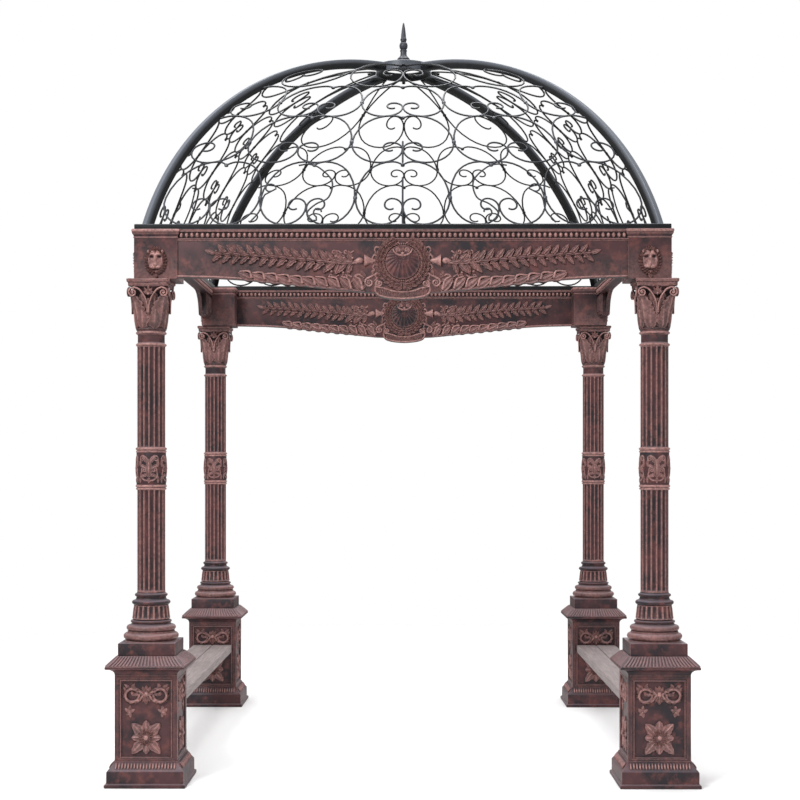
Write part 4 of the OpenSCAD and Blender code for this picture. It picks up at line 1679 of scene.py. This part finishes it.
@dataclass
class Vault:
    """The shape of the dome: a quarter ellipse on each side, meeting along the ribs."""

    foot_z: float = 2867.0
    rise: float = 1166.0
    rail_out: float = 1375.0
    rib_w: float = 40.0
    rib_d: float = 54.0
    bar: float = 10.0
    crown_r: float = 165.0

    def __post_init__(self) -> None:
        """Works out the ellipse."""
        self.long = (self.rail_out - 40) * math.sqrt(2) * 1.0387
        self.low = self.rise * 0.372
        self.high = self.rise + self.low
        self.wide = (self.long - self.rib_d / 2) / math.sqrt(2)
        self.tall = self.high - self.rib_d / 2
        self.rows = [math.degrees(math.asin((self.low + 5.8) / self.tall)), 29.9, 42.8, 54.5,
                     math.degrees(math.acos((self.crown_r + 14) / self.wide))]
        self.cells = [5, 4, 4, 2]
        self.gap = self.rib_w / math.sqrt(2) + 9.3

    def rib_point(self, angle: float, inset: float) -> tuple[float, float]:
        """A place on a rib, as reach and height.

        Args:
            angle: degrees round the ellipse.
            inset: from the rib's outer edge.

        Returns:
            Reach from the upright axis, and height.
        """
        a = math.radians(angle)
        return (self.long - inset) * math.cos(a), self.foot_z - self.low + (self.high - inset) * math.sin(a)

    def place(self, p: np.ndarray) -> tuple[np.ndarray, np.ndarray]:
        """Places and outward directions on the front face.

        Args:
            p: columns of distance across and degrees round the ellipse.

        Returns:
            Places and unit directions.
        """
        a = np.radians(p[:, 1])
        where = np.column_stack([p[:, 0], -self.wide * np.cos(a),
                                 self.foot_z - self.low + self.tall * np.sin(a)])
        out = unit(np.column_stack([0 * a, -self.tall * np.cos(a), self.wide * np.sin(a)]))
        return where, out

    def cell(self, p: np.ndarray, row: int, column: int) -> np.ndarray:
        """Turns places in a scroll's cell into places across and round the ellipse.

        Args:
            p: across 0 to 1 and up 0 to 1 in the cell.
            row: of the scroll, from the foot.
            column: of the scroll, from the middle; every second one is turned over.

        Returns:
            Columns of distance across and degrees.
        """
        across = 1 - p[:, 0] if column % 2 else p[:, 0]
        angle = self.rows[row] + (self.rows[row + 1] - self.rows[row]) * p[:, 1]
        reach = self.wide * np.cos(np.radians(angle)) - self.gap
        return np.column_stack([reach * (column + across) / self.cells[row], angle])


@dataclass
class ScrollPanel:
    """One face of the dome: rows of C scrolls clipped together, with loose S curves in the lowest row."""

    vault: Vault
    cell_w: float = 242.0
    cell_h: float = 384.0

    def bar(self, clay: Clay, line: np.ndarray, thick: float = 1.0) -> None:
        """Adds a bar along places across and round the ellipse.

        Args:
            clay: what it is added to.
            line: the places.
            thick: its thickness as a share of the usual one.
        """
        where, out = self.vault.place(line)
        # The bar's crest is marked high, which paints a faint slate blue highlight along it.
        clay.tube(where, self.vault.bar / 2 * thick, out, 6, 1.0, (0.2, 0.7))

    def scroll(self) -> np.ndarray:
        """The C scroll in its cell, 0 to 1 each way."""
        line = walk((0, 366), 45, [(80, 45), (165, 60), (300, 30), (170, 45), (125, 45), (100, 90), (52, 90),
                                   (37, 100), (27, 120)], 14)
        return line / np.array([self.cell_w, self.cell_h])

    def hook(self, x: float, share: float, radius: float, first: float, turns: float,
             hand: int) -> np.ndarray:
        """A rolled end in the lowest row.

        Args:
            x: its middle, across.
            share: height of its middle as a share of the row.
            radius: where it starts to roll.
            first: degrees at which it starts.
            turns: how far it rolls.
            hand: 1 anticlockwise, -1 clockwise.

        Returns:
            Places across in mm, and up as a share of the row.
        """
        row_height = math.radians(self.vault.rows[1] - self.vault.rows[0]) * self.vault.tall
        line = coil(x, 0.0, radius, first, turns, hand, 0.5)
        return np.column_stack([line[:, 0], share + line[:, 1] / row_height])

    def sprays(self) -> list[np.ndarray]:
        """The two loose S curves of the lowest row, across in mm and up as a share of the row."""
        ess = smooth([(545, 0.95), (490, 0.97), (433, 0.9), (368, 0.68), (384, 0.42), (450, 0.31),
                      (494, 0.18), (478, 0.07), (446, 0.06)], 5)
        stem = smooth([(790, 0.03), (742, 0.2), (728, 0.38), (712, 0.48)], 5)
        return [np.concatenate([ess, self.hook(436, 0.19, 30, -70, 0.7, 1)]),
                np.concatenate([stem[:-1], self.hook(690, 0.56, 34, -150, 0.9, -1)[1:]])]

    def rise(self, row: int, share: np.ndarray) -> np.ndarray:
        """Degrees round the ellipse of shares of a row's height."""
        low, high = self.vault.rows[row], self.vault.rows[row + 1]
        return low + (high - low) * share

    def build(self) -> Clay:
        """The right half and its mirror image, at the front."""
        half = Clay()
        scroll = self.scroll()
        bow = scroll[np.argmax(scroll[:, 0])]
        for row, columns in enumerate(self.vault.cells):
            for column in range(columns):
                self.bar(half, self.vault.cell(scroll, row, column))
                if column % 2 == 0:
                    self.collar(half, self.vault.cell(np.array([(0.0, 0.955)]), row, column))
                    if column + 1 < columns:
                        self.collar(half, self.vault.cell(np.array([(1.0, bow[1])]), row, column))
        for line in self.sprays():
            self.bar(half, np.column_stack([line[:, 0], self.rise(0, line[:, 1])]), 0.9)
        clay = both_ways(half)
        for row, top in ((0, 0.74), (1, 0.42)):
            up = np.linspace(0.0, top, 14)
            self.bar(clay, np.column_stack([0 * up, self.rise(row, up)]))
        return clay

    def collar(self, clay: Clay, place: np.ndarray) -> None:
        """Adds a strap that clips bars together.

        Args:
            clay: what it is added to.
            place: where, across and round the ellipse.
        """
        where, out = self.vault.place(place)
        up = np.cross(out[0], np.array([1.0, 0, 0]))
        path = np.array([where[0] - 8 * up, where[0] - 6.5 * up, where[0] + 6.5 * up, where[0] + 8 * up])
        clay.tube(path, np.array([9.2, 10.6, 10.6, 9.2]), np.broadcast_to(out[0], path.shape), 12, 0.62,
                  (0.3, 0.8))


@dataclass
class Dome:
    """Rail, ribs, scroll panels, crown and finial."""

    vault: Vault = field(default_factory=Vault)
    steps: int = 48
    ring_low: float = 3983.0
    ring_high: float = 4033.0
    ring_sides: int = 96
    hub_r: float = 41.0
    arm_w: float = 28.0

    def dress(self) -> None:
        """Builds the dome's pieces."""
        rail, panel = self.rail().mesh("dome_rail"), ScrollPanel(self.vault).build().mesh("scroll_panel")
        for name, turn in SIDES.items():
            pieces_of(rail, f"iron_rail_{name}", IRON, [f"dome_rail_{name}"], turn=turn)
            pieces_of(panel, f"iron_scrolls_{name}", IRON, [f"scroll_panel_{name}"], turn=turn)
        rib = self.rib().mesh("dome_rib")
        for name, (side_x, side_y) in CORNERS.items():
            pieces_of(rib, f"iron_rib_{name}", IRON, [f"dome_rib_{name}"],
                      turn=math.degrees(math.atan2(side_y, side_x)))
        pieces_of(self.crown().mesh("crown_ring"), "iron_crown", IRON, ["crown_ring"])
        pieces_of(self.spike().mesh("finial"), "iron_finial", SPIKE, ["finial"])

    def rail(self) -> Clay:
        """One side of the rail the dome stands on, mitred at its ends."""
        out, low, high = self.vault.rail_out, 2840.0, self.vault.foot_z
        section = [(74, low), (1, low), (0, low + 1.5), (0, low + 8), (0, high - 8), (0.5, high - 3),
                   (3, high - 0.6), (6, high), (70, high), (75, high - 2), (75, low + 1)]
        rings = np.array([[(k * (out - o), -(out - o), z) for o, z in section] for k in (-1, -0.5, 0, 0.5,
                1)])
        clay = Clay()
        # Marks above a half paint a slate blue highlight along the outer face's top and bottom edges.
        clay.loft(rings, np.broadcast_to([0.1, 0.3, 0.7, 0.3, 0.3, 0.6, 0.8, 0.4, 0.4, 0.4, 0.1],
                                         rings.shape[:2]))
        return clay

    def rib(self) -> Clay:
        """A rib along +x: a flat bar on edge with a rounded outer face."""
        v = self.vault
        w, d = v.rib_w / 2 - 1, v.rib_d - 3
        section = [(-w, 5), (-w + 1.5, 2), (-w * 0.6, 0.4), (0, 0), (w * 0.6, 0.4), (w - 1.5, 2), (w, 5),
                   (w, d - 3), (w - 3, d), (-w + 3, d), (-w, d - 3)]
        rings = []
        for t in np.linspace(0, 1, self.steps + 1):
            ring = []
            for across, inset in section:
                first = math.degrees(math.asin(v.low / (v.high - inset)))
                last = math.degrees(math.acos(v.crown_r / (v.long - inset)))
                reach, z = v.rib_point(first + (last - first) * t, inset)
                ring.append((reach, across, z))
            rings.append(ring)
        clay = Clay()
        # The outer face is marked near 1, which the iron finish paints as a slate blue highlight; the sides
        # stay dark.
        clay.loft(np.array(rings), np.broadcast_to([0.9, 1.0, 1.0, 1.0, 1.0, 1.0, 0.9, 0.1, 0.2, 0.2, 0.1],
                                                   (self.steps + 1, len(section))))
        return clay

    def crown(self) -> Clay:
        """The ring that gathers the ribs, with the hub and crossed arms inside it."""
        r, low, high = self.vault.crown_r - 0.3, self.ring_low, self.ring_high
        clay = Clay()
        band = np.array([(r - 14, low + 1), (r - 12, low), (r - 2, low), (r, low + 2), (r, high - 3),
                         (r - 3, high), (r - 12, high), (r - 14, high - 2)])
        a = np.linspace(0, 2 * math.pi, self.ring_sides, endpoint=False)
        rings = np.stack([np.column_stack([s * np.cos(a), s * np.sin(a), np.full(self.ring_sides, z)])
                          for s, z in band])
        # The outer face of the band is marked high, which paints a slate blue highlight on it.
        clay.loft(rings, [0.3, 0.4, 0.7, 0.8, 0.8, 0.8, 0.5, 0.3], True)
        hub = [(self.hub_r - 11, -14), (self.hub_r - 1, -13), (self.hub_r, -11), (self.hub_r, -2),
               (self.hub_r - 1, 0), (self.hub_r - 11, 1)]
        clay.lathe(np.array([(reach, high + z) for reach, z in hub]), rub=0.6)
        for turn in (0, 90):
            arm = Clay()
            outline = ((-1, high - 12), (1, high - 12), (1, high - 1), (-1, high - 1))
            arm.loft(np.array([[(x, side * self.arm_w / 2, z) for side, z in outline]
                               for x in (-r + 8, r - 8)], float), 0.4)
            clay.add(arm, turned(turn))
        return clay

    def spike(self) -> Clay:
        """The turned finial on top."""
        z = self.ring_high
        outline = curve_points(
            [(36, z), (37, z + 3), (37, z + 38), (38, z + 44), (34, z + 50), (25, z + 58), (20, z + 66),
             (18.5, z + 76), (18.5, z + 90), (21, z + 92), (21, z + 97), (19, z + 99)],
            torus(8, z + 124, 25, 12, 0.68), [(16, z + 150), (16, z + 156), (19, z + 158), (19.5, z + 163),
            (18, z + 168), (15.5, z + 171), (14.5, z + 190), (11.5, z + 217), (8, z + 240), (5.5, z + 254),
            (3, z + 262), (0.6, z + 265)])
        clay = Clay()
        clay.lathe(outline, sides=48, rub=0.4)
        return clay


# ---------------------------------------------------------------- studio


@dataclass
class Studio:
    """Pale floor, soft lamps, plain white surroundings and the camera."""

    lens: float = 68.2
    eye: tuple[float, float, float] = (0.033, -9.131, 1.620)
    turn: float = 0.341
    shift_y: float = 0.084

    def dress(self) -> None:
        """Sets up everything round the object."""
        self.floor()
        self.world()
        self.lamp("key", (-4.2, -7.0, 7.5), 2.6, 640)
        self.lamp("fill", (6.0, -6.0, 3.2), 5.0, 120)
        self.lamp("top", (0.0, 0.5, 8.5), 4.0, 380)
        self.lamp("back", (2.5, 7.0, 5.0), 4.0, 90)
        data = bpy.data.cameras.new("camera")
        data.lens, data.sensor_width, data.shift_y = self.lens, 36, self.shift_y
        data.clip_end = 200
        camera = bpy.data.objects.new("camera", data)
        bpy.context.scene.collection.objects.link(camera)
        camera.location = self.eye
        camera.rotation_euler = (math.radians(90), 0, math.radians(self.turn))
        bpy.context.scene.camera = camera
        bpy.context.scene.view_settings.view_transform = "Standard"

    @staticmethod
    def floor() -> None:
        """A wide floor that fades out before its edge."""
        mesh = bpy.data.meshes.new("floor")
        mesh.from_pydata([(-30, -30, 0), (30, -30, 0), (30, 30, 0), (-30, 30, 0)], [], [(0, 1, 2, 3)])
        made = bpy.data.materials.new("matt white floor paint")
        made.use_nodes = True
        tree = made.node_tree
        tree.nodes.clear()
        place = node(tree, "ShaderNodeNewGeometry").outputs["Position"]
        far = node(tree, "ShaderNodeVectorMath", {"operation": "LENGTH"}, {0: place}).outputs["Value"]
        fade = ramp(tree, far, 3.2, 6.5)
        paint = node(tree, "ShaderNodeBsdfDiffuse", {"Color": (0.93, 0.93, 0.93, 1.0)})
        clear = node(tree, "ShaderNodeBsdfTransparent", {"Color": (1.0, 1.0, 1.0, 1.0)})
        mix = node(tree, "ShaderNodeMixShader", None, {0: fade, 1: paint.outputs[0], 2: clear.outputs[0]})
        node(tree, "ShaderNodeOutputMaterial", None, {"Surface": mix.outputs[0]})
        mesh.materials.append(made)
        floor = bpy.data.objects.new("floor", mesh)
        bpy.context.scene.collection.objects.link(floor)
        floor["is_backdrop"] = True

    @staticmethod
    def world() -> None:
        """White for the eye, softer as a lamp."""
        world = bpy.data.worlds.new("surroundings")
        world.use_nodes = True
        tree = world.node_tree
        tree.nodes.clear()
        rays = node(tree, "ShaderNodeLightPath").outputs
        seen = node(tree, "ShaderNodeMath", {"operation": "MAXIMUM"},
                    {0: rays["Is Camera Ray"], 1: rays["Is Transmission Ray"]}).outputs[0]
        ray = node(tree, "ShaderNodeTexCoord").outputs["Generated"]
        height = node(tree, "ShaderNodeSeparateXYZ", None, {0: ray}).outputs["Z"]
        glow = node(tree, "ShaderNodeMapRange", {"From Min": -0.1, "To Min": 0.26, "To Max": 0.95},
                    {"Value": height})
        strength = node(tree, "ShaderNodeMath", {"operation": "MAXIMUM"},
                        {0: seen, 1: glow.outputs[0]}).outputs[0]
        light = node(tree, "ShaderNodeBackground", {"Color": (1.0, 1.0, 1.0, 1.0)}, {"Strength": strength})
        node(tree, "ShaderNodeOutputWorld", None, {"Surface": light.outputs[0]})
        bpy.context.scene.world = world

    @staticmethod
    def lamp(name: str, place: tuple[float, float, float], size: float, watts: float) -> None:
        """Adds a square soft lamp that faces the middle of the object.

        Args:
            name: of the lamp.
            place: in metres.
            size: of its side, in metres.
            watts: its power.
        """
        data = bpy.data.lights.new(name, "AREA")
        data.size, data.energy = size, watts
        lamp = bpy.data.objects.new(name, data)
        bpy.context.scene.collection.objects.link(lamp)
        lamp.location = place
        x, y, z = place[0], place[1], place[2] - 1.9
        lamp.rotation_euler = (math.atan2(math.hypot(x, y), z), 0, math.atan2(x, -y) if (x or y) else 0)


def corners() -> list[list[float]]:
    """The shown object's lowest and highest corner, as plain lists."""
    return [list(v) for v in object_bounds()]


def main() -> None:
    """Dresses the frame and sets up the studio."""
    logging.basicConfig(level=logging.INFO, format="%(name)s %(message)s")
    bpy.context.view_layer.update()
    for part in (Columns(), Beams(), Seats(), Dome(), Studio()):
        part.dress()


if __name__ == "__main__":
    main()
